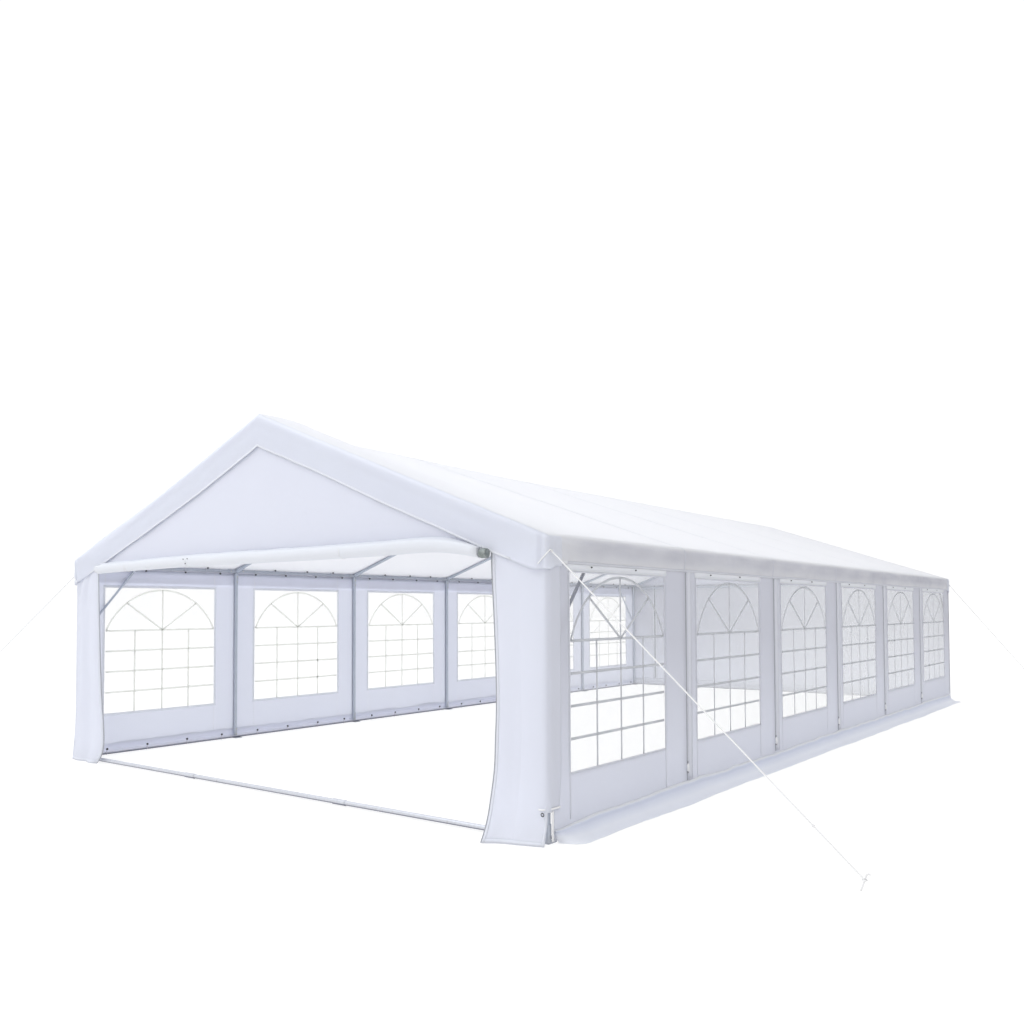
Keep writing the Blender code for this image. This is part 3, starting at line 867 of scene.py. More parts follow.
def lay_grid(
    bm: Mesh,
    u_lines: Sequence[float],
    v_lines: Sequence[float],
    place: Place,
    keep: Test | None = None,
    flat: Flat | None = None,
) -> None:
    """Adds one grid of cloth and lays it where place says.

    Args:
        bm: The mesh that it is added to.
        u_lines: Grid lines across the cloth.
        v_lines: Grid lines along the cloth.
        place: From cloth coordinates to a point of the model.
        keep: Says which faces stay, by the cloth coordinates of their middles.
        flat: From grid coordinates to metres on the flat cloth, where they differ.
    """
    across, along = len(u_lines) - 1, len(v_lines) - 1
    uv_map = bm.loops.layers.uv.get(FLAT_MAP) or bm.loops.layers.uv.new(FLAT_MAP)
    made = bmesh.ops.create_grid(bm, x_segments=across, y_segments=along, size=0.5)["verts"]
    cell = {v: (round((v.co.x + 0.5) * across), round((v.co.y + 0.5) * along)) for v in made}
    dropped = []
    for face in {face for vertex in made for face in vertex.link_faces}:
        corners = [(u_lines[cell[v][0]], v_lines[cell[v][1]]) for v in face.verts]
        middle = [sum(values) / len(corners) for values in zip(*corners)]
        if keep is not None and not keep(*middle):
            dropped.append(face)
            continue
        for loop, corner in zip(face.loops, corners):
            loop[uv_map].uv = flat(*corner) if flat else corner
    for vertex in made:
        i, j = cell[vertex]
        vertex.co = place(u_lines[i], v_lines[j])
    bmesh.ops.delete(bm, geom=dropped, context="FACES")


def cut_cloth(
    u_lines: Sequence[float],
    v_lines: Sequence[float],
    place: Place,
    keep: Test | None = None,
    flat: Flat | None = None,
) -> Mesh:
    """A new mesh with one laid sheet, whose faces all point the same way.

    Args:
        u_lines: As in lay_grid.
        v_lines: As in lay_grid.
        place: As in lay_grid.
        keep: As in lay_grid.
        flat: As in lay_grid.

    Returns:
        The mesh.
    """
    bm = bmesh.new()
    lay_grid(bm, u_lines, v_lines, place, keep, flat)
    bmesh.ops.recalc_face_normals(bm, faces=bm.faces)
    return bm


def lay_tape(
    bm: Mesh,
    lines: Sequence[float],
    start: float,
    width: float,
    place: Place,
    lift: float,
    turned: bool = False,
) -> None:
    """Adds a narrow tape that lies on a cloth.

    Args:
        bm: The mesh that it is added to.
        lines: Grid lines along the tape, in the cloth's coordinates.
        start: The cloth's other coordinate at the tape's first edge.
        width: The tape's width in that coordinate, which may be negative.
        place: The cloth's own placing.
        lift: How far the tape lies from the cloth's middle, along its normal.
        turned: True where the tape runs along the cloth's first coordinate.
    """
    step = 0.002

    def at(along: float, across: float) -> Vector:
        """A point of the tape, clear of the cloth by lift."""
        u, v = (along, across) if turned else (across, along)
        ahead = place(u + step, v) - place(u - step, v)
        aside = place(u, v + step) - place(u, v - step)
        return place(u, v) + ahead.cross(aside).normalized() * lift

    def flat(along: float, across: float) -> Spot:
        """Metres along the tape, and 0 to 1 across it."""
        return along, (across - start) / width

    lay_grid(bm, lines, [start, start + width / 2, start + width], at, flat=flat)


def tube_along(
    bm: Mesh, points: Sequence[Vector], radius: float | Sequence[float], sides: int = 8
) -> None:
    """Adds a round tube along a route, closed at both ends.

    Args:
        bm: The mesh that it is added to.
        points: The middle line.
        radius: One radius, or one for each point.
        sides: Number of sides round it.
    """
    last = len(points) - 1
    radii = list(radius) if isinstance(radius, Sequence) else [radius] * (last + 1)
    lengths = [0.0]
    for first, second in zip(points, points[1:]):
        lengths.append(lengths[-1] + (second - first).length)
    frames = []
    side = None
    for i in range(last + 1):
        along = (points[min(i + 1, last)] - points[max(i - 1, 0)]).normalized()
        if side is None:
            side = UP if abs(along.z) < 0.9 else Vector((1, 0, 0))
        side = (side - along * side.dot(along)).normalized()
        frames.append((side, along.cross(side)))

    def at(turn: float, step: float) -> Vector:
        """A point on the skin."""
        i = round(step)
        out, across = frames[i]
        return points[i] + (out * math.cos(turn) + across * math.sin(turn)) * radii[i]

    def flat(turn: float, step: float) -> Spot:
        """Metres along and round the tube."""
        i = round(step)
        return lengths[i], turn * radii[i]

    before = set(bm.verts)
    turns = [math.tau * i / sides for i in range(sides + 1)]
    lay_grid(bm, turns, list(range(last + 1)), at, flat=flat)
    made = [v for v in bm.verts if v not in before]
    bmesh.ops.remove_doubles(bm, verts=made, dist=1e-6)
    made = [v for v in bm.verts if v not in before]
    rims = [e for e in {e for v in made for e in v.link_edges} if e.is_boundary]
    bmesh.ops.holes_fill(bm, edges=rims, sides=0)
    faces = list({f for v in made if v.is_valid for f in v.link_faces})
    bmesh.ops.recalc_face_normals(bm, faces=faces)


def add_ball(bm: Mesh, middle: Vector, radius: float) -> None:
    """Adds a small ball."""
    spot = Matrix.Translation(middle)
    bmesh.ops.create_icosphere(bm, subdivisions=2, radius=radius, matrix=spot)


def ring_points(middle: Vector, first: Vector, second: Vector, count: int) -> list[Vector]:
    """Points round an ellipse whose half axes are two vectors, back to the first point."""
    turns = [math.tau * i / count for i in range(count + 1)]
    return [middle + first * math.cos(t) + second * math.sin(t) for t in turns]


@dataclass(frozen=True)
class RoofCover:
    """The roof sheet over both slopes, its eave valances, rake flaps and seams."""

    plan: TentPlan
    step: float = 0.055
    shoulder: float = 0.038
    fold: float = 0.011
    sag: float = 0.011
    seam: float = 0.030
    clear: float = 0.004
    corner_r: float = 0.028

    def place(self, s: float, y: float) -> Vector:
        """Where a point of the sheet lies.

        Args:
            s: Metres of cloth from the ridge, negative on the left.
            y: Along the tent.

        Returns:
            The point.
        """
        side = 1 if s >= 0 else -1
        past = abs(s) - SLOPE_LENGTH
        held = smooth_step((ROOF_END - abs(y) - 0.05) / 0.3)
        soft = 1 + 0.7 * wrinkle(y, 0.0, 0.42, side + 11)
        bulk = self.shoulder * soft * bell(past, 0.12)
        reach = 0.008 + bulk * (0.15 + 0.85 * held)
        spots = [self.bare(s + reach * share, y) for share in (-1.0, -0.5, 0.0, 0.5, 1.0)]
        point = sum(spots, Vector()) / len(spots)
        point += Vector((side * 0.2, 0, 0.15)) * (bulk * held)
        point.z += 0.006 * bell(s, 0.05)
        heap = 0.048 * smooth_step((-1.5 - s) / 1.3) * smooth_step((-5.45 - y) / 0.45)
        point.z += heap * (1 - max(0.0, past) / VALANCE_DROP)
        if past > 0:
            return point + self.valance_shift(past, y, side, held)
        point.z -= self.slope_drop(s, y, side)
        return point

    def bare(self, s: float, y: float) -> Vector:
        """The sheet's place before it sags and folds, with hard corners.

        Args:
            s: As in place.
            y: Along the tent.

        Returns:
            The point.
        """
        side = 1 if s >= 0 else -1
        past = abs(s) - SLOPE_LENGTH
        lift = self.plan.lift(y)
        if past <= 0:
            x = VALANCE_X * abs(s) / SLOPE_LENGTH
            return Vector((side * x, y, self.plan.roof_line(x, ROOF_RISE, lift)))
        eave = self.plan.roof_line(VALANCE_X, ROOF_RISE, lift)
        return Vector((side * VALANCE_X, y, eave - (eave - VALANCE_Z) * past / VALANCE_DROP))

    def valance_shift(self, past: float, y: float, side: int, held: float) -> Vector:
        """How a valance leaves its plane: drawn in at its hem, swaying, and dented below the rail.

        Args:
            past: Metres of cloth from the eave.
            y: Along the tent.
            side: The side, as the sign of X.
            held: Share of the movement that the place has, 0 at the corners.

        Returns:
            The shift.
        """
        down = past / VALANCE_DROP
        loose = min(down, 1.0) * held
        drawn = 0.0075 * held * smooth_step(down * 1.5 - 0.5)
        sway = wrinkle(y, 0.0, 0.16, side) * 0.5 + wrinkle(y, past * 3, 0.55, side + 4) * 0.9
        dent = bell(past - 0.055, 0.03) * (0.5 + 0.5 * wrinkle(y, 0, 0.5, side + 6)) * held
        out = loose * max(-0.001, self.fold * sway - 0.002) - 0.009 * dent - drawn
        return Vector((side * out, 0, -0.007 * loose * wrinkle(y, 0, 0.9, side + 2)))

    def slope_drop(self, s: float, y: float, side: int) -> float:
        """How far a slope hangs: between its portals, in waves, and at the front of its raised tip.

        Args:
            s: As in place.
            y: Along the tent.
            side: The side, as the sign of X.

        Returns:
            Metres down.
        """
        share = min(1.0, abs(s) / SLOPE_LENGTH)
        spread = math.sin(math.pi * share)
        between = math.sin(math.pi * (y + self.plan.half_length) / self.plan.bay) ** 2
        waves = 0.005 * spread * wrinkle(s, y, 0.7, 5 + side)
        ripples = 0.002 * min(1.0, spread * 2) * wrinkle(s, y * 0.5, 0.22, 9 + side)
        slack = smooth_step(self.plan.lift(y) * (1 - share) / 0.05)
        from_front = min(1.0, (y + ROOF_END) / 0.09)
        return self.sag * spread * between + waves + ripples + 0.006 * slack * (1 - from_front) ** 2

    def rake_place(self, end: End) -> Place:
        """Placing of a rake flap, whose two ends turn the corners onto the valances.

        Args:
            end: The end of the tent that it hangs at.

        Returns:
            From metres along the flap, and the share down it, to a point.
        """
        sign = end.value
        radius = self.corner_r
        front = ROOF_END + 0.005
        level_run = VALANCE_X + 0.006 - radius
        bend = radius * math.pi / 2

        def at(s: float, down: float) -> Vector:
            """A point of the flap."""
            side = 1 if s >= 0 else -1
            run = abs(s)
            across = min(run, level_run)
            turn = min(max(run - level_run, 0.0), bend) / radius
            back = max(run - level_run - bend, 0.0)
            share = min(1.0, (across + 0.019 * math.sin(turn)) / VALANCE_X)
            edge_z = self.place(side * SLOPE_LENGTH * share, sign * (ROOF_END - self.clear)).z
            hem = edge_z - RAKE_PLUMB + 0.012 * wrinkle(s, 0, 0.8, 25 + sign)
            level = RAKE_FOOT_Z + 0.025 * smooth_step((run - level_run) / 0.12)
            level += 0.012 * (1 - smooth_step((level_run - run) / 0.35)) * wrinkle(s, 0, 0.09, 27)
            foot = (hem + level + math.hypot(hem - level, 0.014)) / 2
            top = edge_z - 0.0004
            corner = smooth_step((run - level_run + 0.08) / 0.12)
            over = 1 - (1 - min(1.0, max(0.0, down) * 8)) ** 2
            lean = over - 0.55 * bell(down - 0.36, 0.17) - 0.45 * down * down
            sway = wrinkle(s, 0, 0.35, 21 + sign) + 0.5 * wrinkle(s, down, 0.12, 23)
            out = 0.009 * lean * (1 - 0.6 * corner)
            out += max(-0.002, 0.006 * down * sway) * (1 - corner)
            gathers = 1 + math.sin(math.tau * run / 0.070 + 0.8 * down)
            out += 0.0065 * bell(level_run - 0.05 - run, 0.11) * over * gathers
            out -= 0.009 * (1 - over) + 0.003 * corner * down
            reach = radius + out
            x = across + reach * math.sin(turn)
            y = front - radius + reach * math.cos(turn) - back
            return Vector((side * x, sign * y, top + (foot - top) * down))

        return at

    def build(self) -> None:
        """Builds the roof sheet, both rake flaps, and their tapes."""
        shoulder = [-0.10, -0.07, -0.045, -0.025, -0.01, 0.0, 0.012, 0.025, 0.04, 0.055]
        half = spaced(0, SLOPE_LENGTH - 0.13, self.step)
        half += [SLOPE_LENGTH + shift for shift in shoulder]
        half += spaced(SLOPE_LENGTH + shoulder[-1], SLOPE_LENGTH + VALANCE_DROP, 0.02)[1:]
        s_lines = mirrored(half)
        edge = ROOF_END - self.clear
        y_lines = [shift - edge for shift in (0.0, 0.012, 0.026, 0.042, 0.06)]
        y_lines += knotted([0.085 - edge, -4.0, -2.0, 0, 2.0, 4.0, edge], 0.05)
        bm = cut_cloth(s_lines, y_lines, self.place)
        cloth = self.plan.cloth
        roof = make_piece("roof_sheet", bm, ROOF_CLOTH, Slot.ROOF, "roof_cover", cloth)
        self.seams(s_lines)
        self.hems(s_lines, y_lines)
        for end in End:
            self.rake(end)

    def seams(self, s_lines: Sequence[float]) -> Piece:
        """The lap seams over the portals, across both slopes.

        Args:
            s_lines: The sheet's grid lines across.

        Returns:
            One piece with all of them.
        """
        bm = bmesh.new()
        slope = [s for s in s_lines if abs(s) < SLOPE_LENGTH + 0.005]
        for y in self.plan.portals[1:-1]:
            lay_tape(bm, slope, y - self.seam / 2, self.seam, self.place, 0.0010, turned=True)
        return make_piece("roof_seams", bm, ROOF_TAPE, Slot.ROOF, thickness=0.0006)

    def hems(self, s_lines: Sequence[float], y_lines: Sequence[float]) -> Piece:
        """The hem along each valance, and the seams that come down to it.

        Args:
            s_lines: The sheet's grid lines across.
            y_lines: The sheet's grid lines along.

        Returns:
            One piece with all of them.
        """
        bm = bmesh.new()
        lift = 0.0014
        drop = [s for s in s_lines if s > SLOPE_LENGTH - 0.002]
        inner = [y for y in y_lines if abs(y) < ROOF_END - 0.2]
        low = SLOPE_LENGTH + VALANCE_DROP
        for sign in BOTH:
            lay_tape(bm, inner, sign * (low - 0.022), sign * 0.020, self.place, lift)
            down = [sign * s for s in drop]
            for y in self.plan.portals[1:-1]:
                lay_tape(bm, down, y - 0.01, 0.02, self.place, lift, turned=True)
        return make_piece("valance_seams", bm, VALANCE_TAPE, Slot.ROOF, thickness=self.plan.tape)

    def rake(self, end: End) -> None:
        """Builds the flap that hangs along the rakes at one end.

        Args:
            end: The end of the tent.
        """
        at = self.rake_place(end)
        near_corner = 2.95
        half = spaced(0, near_corner, self.step) + spaced(near_corner, RAKE_REACH, 0.009)[1:]
        s_lines = mirrored(half)
        downs = [0, 0.02, 0.05, 0.09, 0.14, *spaced(0.2, 1.0, 0.08)]
        along = 1.055
        bm = cut_cloth(s_lines, downs, at, flat=lambda s, v: (s * along, v * RAKE_PLUMB))
        name = f"rake_flap_{end.label}"
        flap = make_piece(name, bm, FLAP_CLOTH, Slot.ROOF, thickness=self.plan.cloth)
        bm = bmesh.new()
        edge = [s for s in s_lines if abs(s) < 2.74]
        lay_tape(bm, edge, 0.93, 0.06, at, 0.0014 * end.value, turned=True)
        name = f"rake_hem_{end.label}"
        hem = make_piece(name, bm, ROOF_TAPE, Slot.ROOF, thickness=self.plan.tape)


@dataclass(frozen=True)
class GablePanel:
    """The flat triangle that closes the roof at one end."""

    plan: TentPlan
    end: End
    rise: float = -0.012
    step: float = 0.06

    def build(self) -> None:
        """Builds the panel."""
        sign, label = self.end.value, self.end.label
        lift = self.plan.lift(sign * ROOF_END)
        height = self.plan.roof_line(0, self.rise, lift) - PANEL_FOOT_Z
        half = min(height / self.plan.slope(lift), self.plan.half_width)

        def at(x: float, up: float) -> Vector:
            """A point of the panel."""
            top = self.plan.roof_line(x, self.rise, lift)
            z = PANEL_FOOT_Z + (top - PANEL_FOOT_Z) * up
            ripple = 0.0012 * wrinkle(x, z, 0.4, 31 + sign)
            return Vector((x, sign * (END_Y + ripple), z))

        x_lines, ups = spaced(-half, half, self.step), spaced(0, 1, self.step)
        bm = cut_cloth(x_lines, ups, at, flat=lambda x, up: (x, up * 1.18))
        name, node = f"gable_panel_{label}", f"{label}_gable"
        panel = make_piece(name, bm, GABLE_CLOTH, Slot.ROOF, node, self.plan.cloth)


@dataclass(frozen=True)
class WallTrim:
    """What differs between the two long walls: the finishes, whose lit copies on the left and
    shaded copies on the right paint their light and shade, and the tapes of the seams.

    Attributes:
        cloth: The wall's finish.
        frame: Finish of the window frames and laps.
        strip: Finish of the strips over the windows.
        bar: Finish of the window bars.
        width: Width of a window frame.
        faces: The faces that have frames: 1 for the outer one, -1 for the inner one.
        lap: Width of a lap seam.
        lap_start: From a portal to its lap seam.
    """

    cloth: Material
    frame: Material
    strip: Material
    bar: Material
    width: float
    faces: tuple[int, ...]
    lap: float
    lap_start: float


# Painted light and shade: the sunny left wall takes the lit copies of the cloth, tapes and bar
# print, the right wall the shaded ones.
WALL_TRIMS = {
    Side.RIGHT: WallTrim(WALL_CLOTH, WALL_TAPE, ROOF_TAPE, BAR, 0.013, BOTH, 0.095, 0.045),
    Side.LEFT: WallTrim(SUNNY_CLOTH, INNER_TAPE, SUNNY_TAPE, SUNNY_BAR, 0.007, (-1,), 0.04, -0.02),
}
SKIRT_CREST = curve(
    (0.0, 0.006, 0.012, 0.018, 0.028, 0.045),
    (0.0, 0.0055, 0.0105, 0.0125, 0.0095, 0.0),
)


@dataclass(frozen=True)
class SideWall:
    """A long wall with six windows, and the skirt that it turns out into on the ground."""

    plan: TentPlan
    side: Side
    skirt_z: float = 0.115
    foot_z: float = 0.010
    step: float = 0.05
    front_gap: float = 0.032
    spring_z: float = 1.338
    bar_width: float = 0.019
    margin: float = 0.028

    @property
    def trim(self) -> WallTrim:
        """The finishes and tapes of this side."""
        return WALL_TRIMS[self.side]

    @property
    def middles(self) -> list[float]:
        """Places of the middles of the windows along Y."""
        shift = self.plan.window_shift if self.side is Side.RIGHT else 0.0
        return [middle + shift for middle in self.plan.bay_centres]

    @property
    def windows(self) -> list[Spot]:
        """Front and rear edge of each window along Y."""
        half = self.plan.window_width / 2
        return [(middle - half, middle + half) for middle in self.middles]

    @property
    def head(self) -> float:
        """Metres from the wall's top edge down to the windows' upper edges."""
        return WALL_HIGH.z - self.plan.window_high

    @property
    def sill(self) -> float:
        """Metres from the wall's top edge down to the windows' lower edges."""
        return WALL_HIGH.z - self.plan.window_low

    @property
    def skirt_run(self) -> float:
        """Metres of cloth across the skirt."""
        return math.hypot(self.plan.skirt, self.skirt_z)

    def sway(self, y: float, z: float) -> float:
        """How far the wall stands off its plane, which the posts hold back.

        Args:
            y: Along the tent.
            z: Height.

        Returns:
            Metres outwards.
        """
        seed = 40 + self.side.value
        free = smooth_step((WALL_HIGH.z - z) / 0.5)
        broad = 0.005 * wrinkle(y, z * 0.5, 0.8, seed)
        foot = 0.006 * smooth_step((0.45 - z) / 0.35) * wrinkle(y, z * 0.3, 0.30, seed + 1)
        head = 0.002 * smooth_step((z - 1.7) / 0.3) * wrinkle(y, z * 0.2, 0.12, seed + 2)
        pull = min(1.0, sum(bell(y - portal, 0.10) for portal in self.plan.portals))
        return (broad + foot) * free * (1 - 0.85 * pull) + head

    def outer_x(self, y: float, z: float) -> float:
        """The wall's distance from the tent's middle plane at a place."""
        return WALL_X + max(-0.002, self.sway(y, z) * smooth_step(z / 0.16))

    def place(self, y: float, down: float) -> Vector:
        """Where a point of the wall lies, by metres along the tent and down from the top edge."""
        z = WALL_HIGH.z - down
        return Vector((self.side.value * self.outer_x(y, z), y, z))

    def film_place(self, y: float, down: float) -> Vector:
        """Where a point of the film lies, against the wall's inner face."""
        return self.place(y, down) - Vector((self.side.value * 0.0026, 0, 0))

    def skirt_place(self, y: float, run: float) -> Vector:
        """Where a point of the skirt lies, which is sewn to the wall and spreads on the ground.

        Args:
            y: Along the tent.
            run: Metres of cloth from the sewn edge.

        Returns:
            The point.
        """
        sign = self.side.value
        seed = 50 + sign
        top = self.skirt_z + 0.026 * wrinkle(y, 0, 0.75, seed)
        top += 0.013 * wrinkle(y, 0, 0.24, seed + 1) - 0.030 * smooth_step((-5.55 - y) / 0.4)
        corner = min(1.0, (HALF_SKIRT - abs(y)) / 0.14)
        width = self.plan.skirt + 0.018 * wrinkle(y, 0, 0.6, seed + 2) + 0.008 * (y > 0)
        width *= math.sqrt(max(0.04, 1 - (1 - corner) ** 2))
        share = max(0.0, run / self.skirt_run)
        plain = smooth_step((-5.6 - y) / 0.35)
        flutter = 0.0035 * smooth_step(share * 2) * (1 + wrinkle(y, run, 0.15, seed + 3))
        fall = max(0.0, 1 - share) ** (2.2 - 1.2 * plain)
        spread = width * min(1.04, share) ** (1.4 - 0.25 * plain)
        x = self.outer_x(y, top) + follow(SKIRT_CREST, run) + spread
        return Vector((sign * x, y, top * fall + flutter + 0.0016))

    def in_window(self, y: float, down: float) -> bool:
        """True where a window is cut."""
        inside = self.head < down < self.sill
        return inside and any(low < y < high for low, high in self.windows)

    def build(self) -> None:
        """Builds the wall, its tapes, its windows and their bars."""
        plan, label = self.plan, self.side.label
        start, stop = -WALL_HIGH.y + self.front_gap, WALL_HIGH.y
        edges = [edge for window in self.windows for edge in window]
        y_lines = knotted([start, *edges, stop], self.step)
        levels = [0.0, self.head, self.sill, WALL_HIGH.z - 0.30, WALL_HIGH.z - self.foot_z]
        downs = knotted(levels, 0.06)
        bm = cut_cloth(y_lines, downs, self.place, keep=lambda y, d: not self.in_window(y, d))
        name, node = f"window_wall_{label}", f"wall_{label}"
        wall = make_piece(name, bm, self.trim.cloth, Slot.WALL, node, plan.cloth)
        self.tapes(downs)
        self.head_strips()
        self.zips(downs)
        self.skirt()
        self.film()
        self.bars()

    def skirt(self) -> None:
        """Builds the skirt with the bright piping along its sewn edge, whose lighter tape also
        paints the highlight on the fold's crest.
        """
        label, lip = self.side.label, 0.03
        y_lines = spaced(-HALF_SKIRT, HALF_SKIRT, self.step)
        runs = spaced(0, lip, 0.005) + spaced(lip, self.skirt_run, 0.013)[1:]
        bm = cut_cloth(y_lines, runs, self.skirt_place)
        name, node = f"ground_skirt_{label}", f"skirt_{label}"
        skirt = make_piece(name, bm, SKIRT_CLOTH, Slot.WALL, node, self.plan.cloth)
        # Painted highlight: the piping's lighter tape stands for the light on the fold's crest.
        bm = bmesh.new()
        along = spaced(0.02 - HALF_SKIRT, HALF_SKIRT - 0.02, self.step)
        lift = -0.0012 * self.side.value
        lay_tape(bm, along, 0.0010, 0.0110, self.skirt_place, lift, turned=True)
        name = f"skirt_piping_{label}"
        piping = make_piece(name, bm, ROOF_TAPE, Slot.WALL, thickness=self.plan.tape)
        self.skirt_run

    def tapes(self, downs: Sequence[float]) -> Piece:
        """Window frames, and the lap seams beside the windows and at the portals.

        Args:
            downs: The wall's grid lines down the cloth.

        Returns:
            One piece with all the tapes of the wall.
        """
        bm = bmesh.new()
        out = -0.0013 * self.side.value
        upright = [d for d in downs if d < WALL_HIGH.z - 0.10]
        width = self.trim.width
        for low, high in self.windows:
            rail = spaced(low - width, high + width, self.step)
            for face in self.trim.faces:
                lift = face * out
                lay_tape(bm, rail, self.head, -width, self.place, lift, turned=True)
                lay_tape(bm, rail, self.sill, width, self.place, lift, turned=True)
                lay_tape(bm, upright, low, -width, self.place, lift)
                lay_tape(bm, upright, high, width, self.place, lift)
        for portal in self.plan.portals[1:-1]:
            start = portal + self.trim.lap_start
            lay_tape(bm, upright, start, self.trim.lap, self.place, 1.6 * out)
        name = f"wall_seams_{self.side.label}"
        return make_piece(name, bm, self.trim.frame, Slot.WALL, thickness=self.plan.tape)

    def head_strips(self) -> Piece:
        """The lighter strip that is sewn over each window, up to behind the valance, whose light
        tape is in part painted light over the shade under the valance.
        """
        bm = bmesh.new()
        lift = -0.0029 * self.side.value
        for low, high in self.windows:
            along = spaced(low - 0.04, high + 0.04, self.step)
            lay_tape(bm, along, self.head - 0.012, -0.10, self.place, lift, turned=True)
        name = f"wall_head_strips_{self.side.label}"
        return make_piece(name, bm, self.trim.strip, Slot.WALL, thickness=self.plan.tape)

    def zips(self, downs: Sequence[float]) -> Piece:
        """The zips that join the wall's panels at the portals, each with its slider and pull.

        Args:
            downs: The wall's grid lines down the cloth.

        Returns:
            One piece with all the zips of the wall.
        """
        sign, label = self.side.value, self.side.label
        lift = -0.0022 * sign
        bm, tags = bmesh.new(), bmesh.new()
        upright = [d for d in downs if 0.10 < d < WALL_HIGH.z - 0.09]
        for portal in self.plan.portals[1:-1]:
            lay_tape(bm, upright, portal + 0.024, 0.012, self.place, lift)
            head = self.place(portal + 0.03, WALL_HIGH.z - 0.285) + Vector((sign * 0.007, 0, 0))
            tube_along(bm, [head, head - UP * 0.018], 0.006, 6)
            tail = head - UP * 0.022 + Vector((sign * 0.003, 0, 0))
            tag = [tail, tail - UP * 0.012, tail - UP * 0.062]
            tube_along(tags, tag, [0.005, 0.011, 0.012], 8)
            tube_along(bm, [tail - UP * 0.066, tail - UP * 0.078], 0.006, 6)
        make_piece(f"zip_pulls_{label}", tags, STRAP, Slot.ROPE)
        lay_tape(bm, upright, WALL_HIGH.y - 0.016, 0.013, self.place, lift)
        return make_piece(f"wall_zips_{label}", bm, ZIP, Slot.WALL, thickness=0.0016)

    def film(self) -> None:
        """Builds the six panes of clear film as one piece."""
        bm = bmesh.new()
        downs = spaced(self.head - self.margin, self.sill + self.margin, self.step)
        for low, high in self.windows:
            across = spaced(low - self.margin, high + self.margin, self.step)
            lay_grid(bm, across, downs, self.film_place)
        bmesh.ops.recalc_face_normals(bm, faces=bm.faces)
        name, node = f"window_panes_{self.side.label}", f"window_film_{self.side.label}"
        film = make_piece(name, bm, FILM, Slot.FILM, node, 0.0006)
        f"window_wall_{self.side.label}"

    def bars(self) -> None:
        """Builds the bars printed on the windows: four columns, four rows, and a fan in an arch."""
        bm = bmesh.new()
        half = self.plan.window_width / 2 - 0.012
        low, spring = self.plan.window_low, self.spring_z
        top = self.plan.window_high - 0.02
        rise = top - spring
        radius = (half**2 + rise**2) / (2 * rise)
        sweep = math.asin(half / radius)
        for middle in self.middles:
            for row in range(1, 5):
                z = low + (spring - low) * row / 4
                self.bar(bm, straight((middle - half, z), (middle + half, z)), 12)
            for column, head in ((-1, spring), (0, top), (1, spring)):
                y = middle + column * half / 2
                self.bar(bm, straight((y, low), (y, head)), 12)
            for lean in BOTH:
                tip = (middle + lean * half * 0.645, spring + rise * 0.675)
                self.bar(bm, straight((middle, spring), tip), 6)

            def arch(t: float, middle: float = middle) -> Spot:
                """A point of the arch."""
                turn = sweep * (2 * t - 1)
                return middle + radius * math.sin(turn), top - radius + radius * math.cos(turn)

            self.bar(bm, arch, 28)
        name = f"window_bars_{self.side.label}"
        make_piece(name, bm, self.trim.bar, Slot.FILM, thickness=0.0020)

    def bar(self, bm: Mesh, route: Route, steps: int) -> None:
        """Adds one printed bar.

        Args:
            bm: The mesh that it is added to.
            route: Its middle line.
            steps: Number of faces along it.
        """

        def at(across: float, t: float) -> Vector:
            """A point of the bar, on the film."""
            y, z = route(t)
            ahead, behind = route(t + 0.01), route(t - 0.01)
            dy, dz = ahead[0] - behind[0], ahead[1] - behind[1]
            scale = across / math.hypot(dy, dz)
            return self.film_place(y - dz * scale, WALL_HIGH.z - (z + dy * scale))

        lay_grid(bm, [-self.bar_width / 2, self.bar_width / 2], spaced(0, 1, 1 / steps), at)


INNER_EDGE = 2.55


@dataclass(frozen=True)
class CurtainHang:
    """How one front curtain hangs.

    Attributes:
        edge: Shift of the inner edge from its place at the head, by height.
        fade: How fast that shift dies out across the curtain.
        swing: How far the foot stands forward, at the inner edge and at the corner.
        tuck: How far the foot is pushed outwards at the corner.
    """

    edge: Curve
    fade: float
    swing: Spot
    tuck: float


HANGS = {
    Side.RIGHT: CurtainHang(
        curve(
            (0.0, 0.10, 0.30, 0.52, 0.93, 1.40, 1.80, 2.05),
            (0.085, 0.070, 0.036, 0.030, 0.044, 0.030, 0.008, 0.0),
        ),
        fade=1.6,
        swing=(0.225, 0.085),
        tuck=0.022,
    ),
    Side.LEFT: CurtainHang(
        curve(
            (0.0, 0.06, 0.16, 0.40, 0.64, 1.20, 1.87, 2.05),
            (-0.04, -0.10, -0.135, -0.10, -0.06, -0.01, 0.03, 0.03),
        ),
        fade=1.1,
        swing=(0.05, 0.03),
        tuck=0.0,
    ),
}


